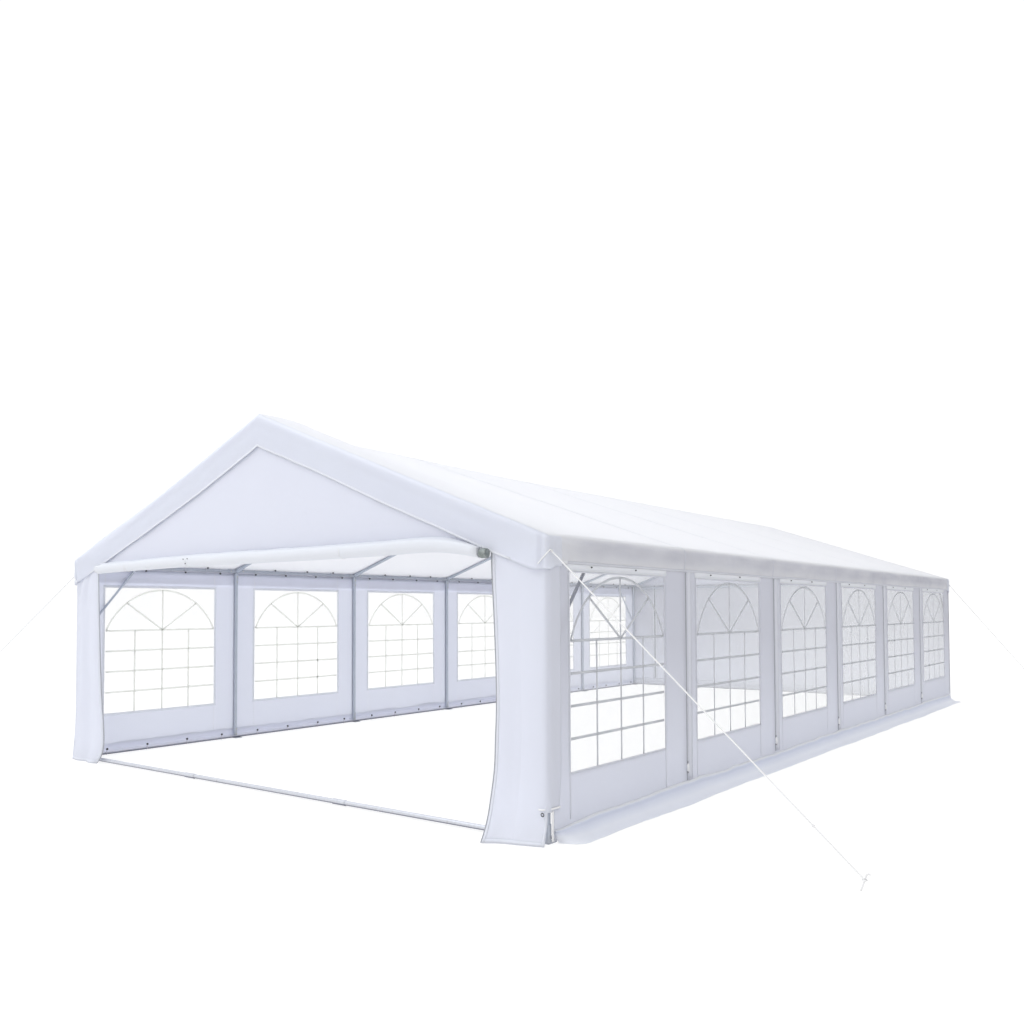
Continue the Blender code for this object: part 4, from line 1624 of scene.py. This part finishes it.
@dataclass(frozen=True)
class FrontCurtain:
    """The strip beside the open doorway, which turns round the corner post and swings out below."""

    plan: TentPlan
    side: Side
    flare_height: float = 0.55
    wrap: float = 0.11
    wrap_low: float = 0.215
    radius: float = 0.034
    panel_edge: float = 3.022
    lowest: float = 0.0015

    @property
    def width(self) -> float:
        """From the inner edge at the top to the start of the bend round the post."""
        return CURTAIN_HIGH.x - HALF_SHEET - self.radius - INNER_EDGE

    @property
    def bend(self) -> float:
        """Length of cloth round the bend."""
        return self.radius * math.pi / 2

    def place(self, s: float, down: float) -> Vector:
        """Where a point of the curtain lies.

        Args:
            s: Metres from the inner edge, round the corner.
            down: Metres below the top edge.

        Returns:
            The point.
        """
        sign, hang = self.side.value, HANGS[self.side]
        z = max(self.lowest, CURTAIN_HIGH.z - down)
        share = min(1.0, s / self.width)
        near = 1 - share
        x = INNER_EDGE + min(s, self.width) + follow(hang.edge, z) * near**hang.fade
        x += hang.tuck * smooth_step((0.32 - z) / 0.18) * share
        y = END_Y + self.fold(s, z, share)
        corner = self.width + self.bend
        if s > corner:
            x = CURTAIN_HIGH.x - HALF_SHEET
            y = END_Y - self.radius - (s - corner)
        elif s > self.width:
            turn = (s - self.width) / self.radius
            x += self.radius * math.sin(turn)
            y = END_Y - self.radius + self.radius * math.cos(turn)
        most, least = hang.swing
        out = least + (most - least) * near + 0.010 * math.sin(s * 27 + sign) * near
        y += out * max(0.0, 1 - z / self.flare_height) ** 2
        return Vector((sign * x, -y, z))

    def fold(self, s: float, z: float, share: float) -> float:
        """How far the front part stands out in folds.

        Args:
            s: Metres from the inner edge.
            z: Height.
            share: Share of the front part's width.

        Returns:
            Metres forwards.
        """
        if share >= 1:
            return 0.0
        loose = math.sin(math.pi * share) ** 0.5 if share > 0 else 0.0
        hang = smooth_step((CURTAIN_HIGH.z - z) / 1.1)
        drift = 0.02 * wrinkle(z, 0, 0.7, 60)
        if self.side is Side.RIGHT:
            crease = bell(s - 0.235 - drift * 0.4, 0.016)
            valley = bell(share - 0.46, 0.2)
            out = hang * (0.004 * loose - 0.014 * valley - 0.003 * crease)
        else:
            wave = 0.5 + 0.5 * math.sin(math.tau * (s + drift) / 0.26 - 0.4)
            bunch = 0.016 * bell(z - 1.80, 0.13) * smooth_step(share * 2)
            out = loose * (0.006 + 0.015 * hang) * wave
            out += bunch * (0.5 + 0.5 * math.sin(46 * s + 11 * z))
        return out + 0.0022 * wrinkle(s, z, 0.14, 63 + self.side.value) * loose

    def build(self) -> None:
        """Builds the curtain, its hems and its zip."""
        label = self.side.label
        top = CURTAIN_HIGH.z
        corner = self.width + self.bend
        panel = self.panel_edge - INNER_EDGE
        slit = top - self.wrap_low
        s_lines = spaced(0, self.width, 0.0125)
        s_lines += knotted([self.width, panel, corner], self.bend / 8)[1:]
        s_lines += spaced(corner, corner + self.wrap, 0.02)[1:]
        downs = spaced(0, slit, 0.045) + spaced(slit, top - self.lowest, 0.02)[1:]
        bm = cut_cloth(s_lines, downs, self.place, keep=lambda s, d: s <= panel or d <= slit)
        name, node = f"door_curtain_{label}", f"front_curtain_{label}"
        curtain = make_piece(name, bm, CURTAIN_CLOTH, Slot.WALL, node, self.plan.cloth)
        bm = bmesh.new()
        lift = -0.0013 * self.side.value
        long_lines = spaced(0, top - 0.004, 0.04)
        for face in BOTH:
            lay_tape(bm, long_lines, 0.008, 0.024, self.place, face * lift)
        low_lines = [s for s in s_lines if s <= panel]
        lay_tape(bm, low_lines, top - 0.032, 0.026, self.place, lift, turned=True)
        slit_lines = spaced(slit, top - 0.006, 0.02)
        lay_tape(bm, slit_lines, panel - 0.002, -0.022, self.place, lift)
        name = f"curtain_hem_{label}"
        hem = make_piece(name, bm, TAPE, Slot.WALL, thickness=self.plan.tape)
        bm = bmesh.new()
        lay_tape(bm, long_lines, -0.004, 0.010, self.place, 0.0)
        fastener = make_piece(f"curtain_zip_{label}", bm, ZIP, Slot.WALL, thickness=0.0030)


@dataclass(frozen=True)
class RearWall:
    """The closed wall at the rear, with upright folds, two zips and a skirt on the ground."""

    plan: TentPlan
    turn_z: float = 0.07
    zips: tuple[float, float] = (-2.53, 2.53)

    def place(self, x: float, down: float) -> Vector:
        """Where a point of the wall lies.

        Args:
            x: Across the tent.
            down: Metres below the top edge.

        Returns:
            The point.
        """
        z = REAR_HIGH.z - down
        free = smooth_step(down / 0.4) * (1 - 0.9 * bell(abs(x) - self.plan.half_width, 0.12))
        drift = 0.08 * wrinkle(x, z * 0.3, 0.6, 71)
        wave = 0.5 + 0.5 * math.sin(math.tau * (x + drift) / 0.42)
        y = END_Y + free * (0.013 * wave + 0.004 * (1 + wrinkle(x, z * 0.3, 0.15, 72)))
        if z > self.turn_z:
            return Vector((x, y, z))
        past = self.turn_z - z
        level = self.turn_z * (1 - smooth_step(past / 0.08)) + 0.002
        crest = (0.022 + 0.012 * wrinkle(x, 0, 0.3, 73)) * bell(past - 0.10, 0.035)
        flutter = smooth_step((past - 0.12) / 0.1) * max(0.0, wrinkle(x, past, 0.2, 74))
        return Vector((x, y + past * 0.95, level + crest + 0.008 * flutter))

    def build(self) -> None:
        """Builds the wall, its tapes and its zips."""
        half, top = REAR_HIGH.x, REAR_HIGH.z
        x_lines = spaced(-half, half, 0.04)
        upright = spaced(0, top - self.turn_z, 0.06)
        downs = upright + spaced(upright[-1], top + self.plan.skirt, 0.017)[1:]
        bm = cut_cloth(x_lines, downs, self.place)
        cloth = self.plan.cloth
        wall = make_piece("rear_door_wall", bm, WALL_CLOTH, Slot.WALL, "rear_wall", cloth)
        bm = bmesh.new()
        upright = upright[:-1]
        lift = 0.0014
        for x in self.zips:
            for start in (x - 0.045, x + 0.013):
                for face in BOTH:
                    lay_tape(bm, upright, start, 0.032, self.place, face * lift)
        lay_tape(bm, x_lines, top - 0.15, 0.035, self.place, -lift, turned=True)
        seams = make_piece("rear_wall_seams", bm, TAPE, Slot.WALL, thickness=0.0010)
        bm = bmesh.new()
        for x in self.zips:
            lay_tape(bm, upright, x - 0.009, 0.018, self.place, 0.0)
        zips = make_piece("rear_wall_zips", bm, ZIP, Slot.WALL, thickness=0.0034)


ROLL_RADII = curve(
    (-2.5, -2.25, -1.2, 1.0, 1.9, 2.25, 2.485),
    (0.042, 0.045, 0.050, 0.052, 0.052, 0.047, 0.038),
)
ROLL_FEET = curve(
    (-2.5, -2.0, -1.0, 0.6, 1.5, 1.85, 2.07, 2.30, 2.485),
    (1.934, 1.944, 1.957, 1.958, 1.963, 1.970, 1.970, 1.948, 1.918),
)
CAP_PROFILE = curve(
    (0.0, 0.0, 0.08, 0.20, 0.66, 0.74, 0.80, 0.93, 1.0, 0.95, 0.93),
    (0.0, 0.80, 0.93, 1.0, 1.0, 0.95, 0.97, 0.93, 0.78, 0.66, 0.0),
)


@dataclass(frozen=True)
class RolledDoor:
    """The front door, five metres by two, rolled up on its pole and tied under the gable."""

    plan: TentPlan
    turns: float = 9.0
    core: float = 0.013
    stand_off: float = 0.050
    step: float = 0.065
    cords: tuple[float, ...] = (-1.95, -0.926, 1.12)
    toggles: tuple[tuple[float, float], ...] = ((-0.958, 2.75), (-0.893, 2.75), (-0.926, 3.55))

    def radius(self, x: float) -> float:
        """Outer radius of the roll, which falls away towards both ends."""
        return follow(ROLL_RADII, x) + 0.0024 * wrinkle(x, 0, 0.24, 81)

    def middle(self, x: float) -> Vector:
        """Middle line of the roll."""
        radius = self.radius(x)
        front = self.plan.half_length + self.plan.sleeve_r + SLACK
        out = max(radius, self.stand_off) + 0.008 * smooth_step((-1.9 - x) / 0.5)
        return Vector((x, -front - out, follow(ROLL_FEET, x) + radius))

    def place(self, x: float, turn: float) -> Vector:
        """Where a point of the rolled cloth lies.

        Args:
            x: Across the tent.
            turn: Turns from the pole outwards.

        Returns:
            The point.
        """
        share = turn / self.turns
        radius = self.core + (self.radius(x) - self.core) * share**0.82
        radius += 0.0020 * share * wrinkle(x * 0.6 + turn * 0.35, turn, 0.16, 83)
        radius += 0.010 * smooth_step((share - 0.985) / 0.015)
        angle = -math.tau * turn + 2.2 + 0.25 * wrinkle(x, 0, 1.1, 85)
        return self.middle(x) + Vector((0, math.cos(angle) * radius, math.sin(angle) * radius))

    def strip(self, x: float, up: float) -> Vector:
        """Where a point lies on the strip from the roll up behind the gable panel.

        Args:
            x: Across the tent.
            up: Share of the way up.

        Returns:
            The point.
        """
        start = self.middle(x) + UP * (self.radius(x) * 0.9)
        held = smooth_step((2.46 - x) / 0.30)
        rise = max(ROLL_HIGH.z - 0.03 - start.z, 0.0) + 0.025
        return start.lerp(Vector((x, 0.0062 - END_Y, start.z + rise * held)), up)

    def build(self) -> None:
        """Builds the roll, its cords, the toggles and the cap on the pole."""
        x_lines = spaced(ROLL_LOW.x, ROLL_HIGH.x, self.step)
        turns = spaced(0, self.turns, 1 / 20)
        bm = cut_cloth(x_lines, turns, self.place, flat=lambda x, turn: (x, turn * 0.22))
        strip_lines = spaced(ROLL_LOW.x + 0.01, ROLL_HIGH.x - 0.01, self.step)
        lay_grid(bm, strip_lines, spaced(0, 1, 0.25), self.strip)
        cloth = self.plan.cloth
        roll = make_piece("door_roll", bm, ROLL_CLOTH, Slot.ROOF, "rolled_door", cloth)
        bm = bmesh.new()
        for x in self.cords:
            out = self.radius(x) + 0.0024
            ring = ring_points(self.middle(x), Vector((0, out, 0)), UP * out, 28)
            tube_along(bm, ring, 0.0016, 6)
        cords = make_piece("roll_cords", bm, ROPE, Slot.ROPE)
        bm = bmesh.new()
        for x, angle in self.toggles:
            out = Vector((0, math.cos(angle), math.sin(angle))) * (self.radius(x) + 0.0035)
            add_ball(bm, self.middle(x) + out, 0.0055)
        toggles = make_piece("roll_toggles", bm, BALL, Slot.CAP)
        self.cap()

    def cap(self) -> None:
        """Builds the grey cap on the pole's end, with a rim and a dished face."""
        middle = (CAP_LOW + CAP_HIGH) / 2
        radius = (CAP_HIGH.z - CAP_LOW.z) / 2
        length = CAP_HIGH.x - CAP_LOW.x
        bm = bmesh.new()
        points = [
            bm.verts.new((CAP_LOW.x + length * along, 0, radius * out))
            for along, out in CAP_PROFILE
        ]
        edges = [bm.edges.new(pair) for pair in zip(points, points[1:])]
        bmesh.ops.spin(
            bm,
            geom=points + edges,
            cent=(0, 0, 0),
            axis=(1, 0, 0),
            angle=math.tau,
            steps=32,
            use_merge=True,
        )
        bmesh.ops.remove_doubles(bm, verts=bm.verts, dist=1e-5)
        bmesh.ops.recalc_face_normals(bm, faces=bm.faces)
        bmesh.ops.translate(bm, vec=(0.010, middle.y, middle.z - 0.006), verts=bm.verts)
        make_piece("roll_cap", bm, CAP, Slot.CAP, "roll_pole_cap", smooth=35)


class Lead(Enum):
    """Where a guy rope's peg stands: metres outwards from its corner, and back to the middle."""

    SIDEWAYS = (1.91, 0.19)
    DIAGONAL = (1.25, -1.20)


@dataclass(frozen=True)
class GuyRope:
    """A taut rope from a roof corner to its hooked peg, with the knot and the short tail."""

    plan: TentPlan
    side: Side
    end: End
    rope_r: float = 0.005
    peg_r: float = 0.0052
    knot_z: float = 1.945
    peg_z: float = 0.10
    peg_lean: float = 0.035
    hold: float = 0.62
    splice: float = 0.86

    def build(self) -> None:
        """Builds the rope and the peg in the place of their solid."""
        sx, sy = self.side.value, self.end.value
        knot = Vector((sx * (ROOF_HIGH.x + 0.011), sy * (ROOF_END - 0.018), self.knot_z))
        out, back = (Lead.DIAGONAL if sx == sy else Lead.SIDEWAYS).value
        reach = Vector((sx * out, -sy * back, 0))
        foot = Vector((knot.x, knot.y, 0)) + reach
        away = reach.normalized()
        peg_top = foot + away * self.peg_lean + UP * self.peg_z
        self.rope(knot, foot.lerp(peg_top, self.hold), away)
        self.peg(foot, peg_top, away)

    @property
    def label(self) -> str:
        """The corner's name as pieces use it."""
        return f"{self.end.label}_{self.side.label}"

    def rope(self, knot: Vector, hold: Vector, away: Vector) -> None:
        """Builds the rope with its tail over the corner, its knots and its loop round the peg.

        Args:
            knot: Where it is knotted at the corner.
            hold: Where it holds the peg.
            away: The way that it leads over the ground.
        """
        sx, sy = self.side.value, self.end.value
        bm = bmesh.new()
        tail = Vector((sx * (ROOF_HIGH.x - 0.075), sy * (ROOF_END + 0.024), knot.z - 0.085))
        crest = knot + Vector((sx * 0.002, sy * 0.020, 0.010))
        middle = tail.lerp(crest, 0.5) + Vector((sx * 0.003, sy * 0.006, 0))
        tube_along(bm, [tail, middle, crest, knot], self.rope_r)
        tube_along(bm, [knot.lerp(hold, t) for t in spaced(0, 1, 1 / 24)], self.rope_r)
        beside = Vector((0.0, 0.006 * sy, 0.004))
        doubled = [knot.lerp(hold, t) + beside for t in (self.splice, 0.9, 0.95, 1.0)]
        tube_along(bm, doubled, self.rope_r * 0.9)
        add_ball(bm, knot, 0.0115)
        add_ball(bm, knot.lerp(hold, self.splice), 0.0095)
        loop = ring_points(hold, away * 0.012, away.cross(UP) * 0.012, 10)
        tube_along(bm, loop, self.rope_r * 0.9, 6)
        name, node = f"stay_rope_{self.label}", f"guy_rope_{self.label}"
        make_piece(name, bm, ROPE, Slot.ROPE, node, smooth=60)

    def peg(self, foot: Vector, top: Vector, away: Vector) -> None:
        """Builds the part of the peg above the ground, with its hook turned away.

        Args:
            foot: Where it leaves the ground.
            top: Its top.
            away: The way that its hook turns.
        """
        bm = bmesh.new()
        hook_r = 0.011
        lean = (top - foot).normalized()
        neck = top - lean * 0.014
        route = [foot + lean * 0.001, foot.lerp(neck, 0.5), neck]
        for turn in spaced(0.3, 2.7, 0.4):
            route.append(neck + away * hook_r * (1 - math.cos(turn)) + UP * hook_r * math.sin(turn))
        tube_along(bm, route, self.peg_r)
        for vertex in bm.verts:
            vertex.co.z = max(vertex.co.z, 0.0002)
        make_piece(f"stay_peg_{self.label}", bm, PEG, Slot.STEEL, smooth=50)


@dataclass(frozen=True)
class BallTies:
    """The elastic loops with black balls that tie the cloth to the rails, from inside the tent."""

    plan: TentPlan
    ball_r: float = 0.0125
    bar_r: float = 0.0125
    low_ties: tuple[float, ...] = (-0.72, -0.24, 0.27, 0.75)
    high_ties: tuple[float, ...] = (-0.44, 0.09, 0.55)
    outer_balls: tuple[float, ...] = (-0.48, 0.165)

    def build(self) -> None:
        """Builds the ties along both eave rails and both ground bars."""
        balls, loops = bmesh.new(), bmesh.new()
        rail_r = self.plan.tube_r
        for side in Side:
            sign = side.value
            rail = Vector((sign * self.plan.half_width, 0, self.plan.eave_z))
            bar_low, bar_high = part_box(f"ground_bar_{side.label}")
            bar = (bar_low + bar_high) / 2
            below = Vector((-sign * 0.020, 0, -0.036))
            above_bar = Vector((-sign * 0.012, 0, 0.046))
            inside = Vector((-sign * 0.055, 0, 0.024))
            for middle in self.plan.bay_centres:
                for shift in self.low_ties:
                    self.tie(balls, loops, rail, middle + shift, below, rail_r)
                    self.tie(balls, loops, bar, middle + shift + 0.02, above_bar, self.bar_r)
                for shift in self.high_ties:
                    self.tie(balls, loops, rail, middle + shift, inside, rail_r)
                for shift in self.outer_balls:
                    spot = Vector((sign * (WALL_X + 0.009), middle + shift, VALANCE_Z - 0.012))
                    add_ball(balls, spot, 0.0065)
        make_piece("tie_balls", balls, BALL, Slot.CAP)
        make_piece("tie_loops", loops, ELASTIC, Slot.ROPE)

    def tie(
        self, balls: Mesh, loops: Mesh, rail: Vector, y: float, shift: Vector, rail_r: float
    ) -> None:
        """Adds one ball and its loop round a rail.

        Args:
            balls: Mesh that takes the ball.
            loops: Mesh that takes the loop.
            rail: A point on the rail's middle line, which runs along Y.
            y: Place along the tent.
            shift: From the rail's middle to the ball's middle.
            rail_r: The rail's radius.
        """
        middle = Vector((rail.x, y, rail.z))
        ball = middle + shift
        add_ball(balls, ball, self.ball_r)
        away = shift.normalized()
        aside = Vector((0, 1, 0)).cross(away)
        reach = rail_r + 0.0022
        points = [
            middle + away * reach * math.cos(t) + aside * reach * math.sin(t)
            for t in spaced(0.9, 5.4, 0.5)
        ]
        tube_along(loops, [ball, *points, ball], 0.0019, 5)


def add_cone(bm: Mesh, spot: Matrix, radii: tuple[float, float], depth: float, sides: int) -> None:
    """Adds a closed cone or disc.

    Args:
        bm: The mesh that it is added to.
        spot: Place and turn of its middle.
        radii: Radius at its foot and at its head.
        depth: Its length.
        sides: Number of sides round it.
    """
    bmesh.ops.create_cone(
        bm,
        cap_ends=True,
        segments=sides,
        radius1=radii[0],
        radius2=radii[1],
        depth=depth,
        matrix=spot,
    )


STEEL = ("post_", "rafter_", "eave_rail_", "ridge_beam", "header_", "ground_bar_", "brace_")


@dataclass(frozen=True)
class FrameDress:
    """Finish of the tube frame, and its bolts and ground nails."""

    plan: TentPlan
    bolt_r: float = 0.0062

    def coat(self, name: str) -> Material:
        """The coat of a steel node: darker copies paint shade on the right braces and the eave
        rails, a lighter one paints the sky's light on the ground bars.
        """
        coats = {"eave": RAIL_TUBE, "ground": GROUND_TUBE}
        # Painted shade: the right braces, seen through the translucent wall, take the near-black
        # copy.
        shaded = name.startswith("brace_") and name.endswith("right")
        return SHADED_BRACE_TUBE if shaded else coats.get(name.split("_")[0], TUBE)

    def build(self) -> None:
        """Gives every steel node its coat and adds the small fixings."""
        for name, node in frame["nodes"].items():
            if name.startswith(STEEL):
                for place in node.material_slots:
                    place.material = self.coat(name)
        self.bolts()
        self.nails()

    def bolts(self) -> None:
        """Hexagon bolts through the sleeves of posts, rafters, rails and the ridge beam."""
        bm = bmesh.new()
        plan = self.plan
        pitch = math.atan(plan.slope())
        for side in Side:
            sign = side.value
            inner_x = sign * (plan.half_width - plan.sleeve_r)
            inward = Vector((-sign, 0, 0))
            along = Vector((-sign * math.cos(pitch), 0, math.sin(pitch)))
            for y in plan.portals:
                for z in (0.045, 0.105, plan.eave_z - 0.13, plan.eave_z - 0.065):
                    self.bolt(bm, Vector((inner_x, y, z)), inward)
                for beside in (y - 0.09, y + 0.09):
                    if abs(beside) < plan.half_length:
                        self.bolt(bm, Vector((inner_x, beside, plan.eave_z)), inward)
                        if side is Side.RIGHT:
                            under = Vector((0, beside, plan.ridge_z - plan.sleeve_r))
                            self.bolt(bm, under, -UP)
                face = Vector((0, -1 if y == plan.portals[-1] else 1, 0))
                low = Vector((sign * plan.half_width, y, plan.eave_z))
                high = Vector((0, y, plan.ridge_z))
                for spot in (low + along * 0.11, high - along * 0.11):
                    self.bolt(bm, spot + face * plan.sleeve_r, face)
        bmesh.ops.recalc_face_normals(bm, faces=bm.faces)
        make_piece("frame_bolts", bm, BOLT, Slot.STEEL, smooth=30)

    def bolt(self, bm: Mesh, spot: Vector, out: Vector) -> None:
        """Adds one bolt head with its washer.

        Args:
            bm: The mesh that it is added to.
            spot: Where it stands on the tube.
            out: The way that it faces.
        """
        turn = Matrix.Translation(spot) @ out.to_track_quat("Z", "Y").to_matrix().to_4x4()
        washer = (self.bolt_r * 1.5, -0.002, 0.0012, 12)
        head = (self.bolt_r, 0.0, 0.0055, 6)
        for radius, low, high, sides in (washer, head):
            middle = turn @ Matrix.Translation((0, 0, (low + high) / 2))
            add_cone(bm, middle, (radius, radius * 0.96), high - low, sides)

    def nails(self) -> None:
        """Nail heads that pin the foot plates to the ground."""
        bm = bmesh.new()
        for side in Side:
            for number in range(1, self.plan.bays + 2):
                low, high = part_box(f"post_{side.label}_{number}")
                inner = low.x if side is Side.RIGHT else high.x
                for y in (low.y + 0.016, high.y - 0.016):
                    spot = Matrix.Translation((inner + side.value * 0.014, y, 0.0078))
                    add_cone(bm, spot, (0.008, 0.006), 0.0035, 12)
        make_piece("plate_nails", bm, BOLT, Slot.STEEL, smooth=30)


@dataclass(frozen=True)
class CornerStrap:
    """The white straps and the eyelet that hold the right front curtain at the corner's foot."""

    height: float = 0.232
    width: float = 0.013
    bend_r: float = 0.036
    start: float = 0.03
    hanging_width: float = 0.025
    eye_r: float = 0.011

    def round_corner(self, up: float, run: float) -> Vector:
        """Where a point lies on the strap that goes round the corner.

        Args:
            up: Metres from its middle line.
            run: Metres along it.

        Returns:
            The point.
        """
        radius = self.bend_r
        front = END_Y + 0.0052
        turn = min(max(run - self.start, 0.0) / radius, math.pi / 2)
        back = max(0.0, run - self.start - radius * math.pi / 2)
        before = max(0.0, self.start - run)
        x = CURTAIN_HIGH.x + SLACK - radius + radius * math.sin(turn) - before
        y = front - radius + radius * math.cos(turn) - back
        swing = 0.028 if turn < 1.5 else 0.0
        z = self.height + up - 0.004 * back
        return Vector((x, -(y + swing * (1 - turn / 1.6) + 0.006), z))

    def hanging(self, up: float, across: float) -> Vector:
        """Where a point lies on the strap that hangs in the slit."""
        return Vector((CURTAIN_HIGH.x + SLACK - 0.004, -(5.988 + across), 0.014 + up))

    def build(self) -> None:
        """Builds the strap round the corner, the strap down to the foot plate, and the eyelet."""
        bm = bmesh.new()
        narrow, wide = self.width, self.hanging_width
        edges, runs = [-narrow / 2, narrow / 2], spaced(0, 0.19, 0.01)
        lay_grid(bm, edges, runs, self.round_corner, flat=lambda u, t: (t, u / narrow + 0.5))
        ups, edges = spaced(0, 0.21, 0.03), [-wide / 2, wide / 2]
        lay_grid(bm, ups, edges, self.hanging, flat=lambda u, t: (u, t / wide + 0.5))
        make_piece("corner_straps", bm, STRAP, Slot.ROPE, thickness=0.0018)
        bm = bmesh.new()
        eye = Vector((3.014, -(END_Y + 0.055), 0.205))
        ring = ring_points(eye, Vector((self.eye_r, 0, 0)), UP * self.eye_r, 16)
        tube_along(bm, ring, 0.0035, 6)
        make_piece("corner_eyelets", bm, BALL, Slot.CAP)


@dataclass(frozen=True)
class Studio:
    """The camera at the photograph's place, a pale floor and soft light."""

    camera_place: tuple[float, float, float] = (6.5147, -11.1459, 1.5508)
    yaw: float = 0.6537
    pitch: float = 0.0352
    roll: float = -0.0030
    focal_px: float = 928.2
    middle_px: tuple[float, float] = (495.98, 577.50)
    picture_px: float = 1024.0
    sensor: float = 36.0
    floor_glow: float = 0.80
    bright: float = 1.06
    dim: float = 0.31

    def build(self) -> None:
        """Builds the camera, the floor, the world and the lights."""
        self.camera()
        self.floor()
        self.sky()
        self.lamp()

    def camera(self) -> None:
        """Sets the camera from the fitted view."""
        level = Vector((-math.sin(self.yaw), math.cos(self.yaw), 0))
        aside = Vector((math.cos(self.yaw), math.sin(self.yaw), 0))
        above = UP * math.cos(self.pitch) - level * math.sin(self.pitch)
        ahead = level * math.cos(self.pitch) + UP * math.sin(self.pitch)
        right = aside * math.cos(self.roll) + above * math.sin(self.roll)
        up = above * math.cos(self.roll) - aside * math.sin(self.roll)
        data = bpy.data.cameras.new("camera")
        data.sensor_width = self.sensor
        data.lens = self.focal_px / self.picture_px * self.sensor
        data.shift_x = (self.picture_px / 2 - self.middle_px[0]) / self.picture_px
        data.shift_y = (self.middle_px[1] - self.picture_px / 2) / self.picture_px
        data.clip_end = 500.0
        camera = bpy.data.objects.new("camera", data)
        turn = Matrix((right, up, -ahead)).transposed().to_4x4()
        camera.matrix_world = Matrix.Translation(self.camera_place) @ turn
        bpy.context.scene.collection.objects.link(camera)
        bpy.context.scene.camera = camera

    def floor(self) -> None:
        """Lays a plain pale floor."""
        bm = bmesh.new()
        bmesh.ops.create_grid(bm, x_segments=1, y_segments=1, size=150)
        kit = Coat("pale_floor")
        patch = kit.noise(kit.object_place(), 0.3, 2.0)
        colour = kit.blend(patch, (0.27, 0.27, 0.27), (0.25, 0.25, 0.25))
        glow = {
            "Specular IOR Level": 0.1,
            "Emission Color": rgba((1.0, 1.0, 1.0)),
            "Emission Strength": self.floor_glow,
        }
        mesh = bpy.data.meshes.new("studio_floor")
        bm.to_mesh(mesh)
        bm.free()
        mesh.materials.append(kit.surface(colour, 0.9, more=glow))
        piece = bpy.data.objects.new("studio_floor", mesh)
        bpy.context.scene.collection.objects.link(piece)

    def sky(self) -> None:
        """Lights the tent all round, brightest from above on the left."""
        scene = bpy.context.scene
        world = bpy.data.worlds.new("white_studio")
        world.use_nodes = True
        kit = Nodes(world.node_tree)
        way = kit.add("TexCoord").outputs["Generated"]
        lean = kit.add("VectorMath", {0: way, 1: (-0.8, 0.0, 1.3)}, operation="DOT_PRODUCT")
        strength = kit.ramp(
            lean.outputs["Value"],
            -0.60,
            0.12,
            self.dim,
            self.bright,
            interpolation_type="SMOOTHSTEP",
        )
        sky = {"Color": rgba((1.0, 1.0, 1.0)), "Strength": strength}
        kit.fill(world.node_tree.nodes["Background"], sky)
        scene.world = world
        scene.view_settings.view_transform = "Standard"

    def lamp(self) -> None:
        """Hangs one large soft lamp at the front left."""
        lamp = bpy.data.lights.new("key_lamp", "AREA")
        lamp.shape = "SQUARE"
        lamp.size = 10.0
        lamp.energy = 1200.0
        lamp.color = (0.88, 0.93, 1.0)
        key = bpy.data.objects.new("key_lamp", lamp)
        spot = Vector((-6.0, -12.0, 17.0))
        aim = (Vector((0, 0, 1.5)) - spot).to_track_quat("-Z", "Y")
        key.matrix_world = Matrix.Translation(spot) @ aim.to_matrix().to_4x4()
        bpy.context.scene.collection.objects.link(key)


def main() -> None:
    """Builds the studio, then every sub-assembly in order."""
    assemblies: Sequence = (
        Studio(),
        FrameDress(PLAN),
        RoofCover(PLAN),
        *[GablePanel(PLAN, end) for end in End],
        *[SideWall(PLAN, side) for side in Side],
        *[FrontCurtain(PLAN, side) for side in Side],
        RearWall(PLAN),
        RolledDoor(PLAN),
        BallTies(PLAN),
        CornerStrap(),
        *[GuyRope(PLAN, side, end) for side in Side for end in End],
    )
    for assembly in assemblies:
        assembly.build()
        log.info("built %s", type(assembly).__name__)


if __name__ == "__main__":
    main()
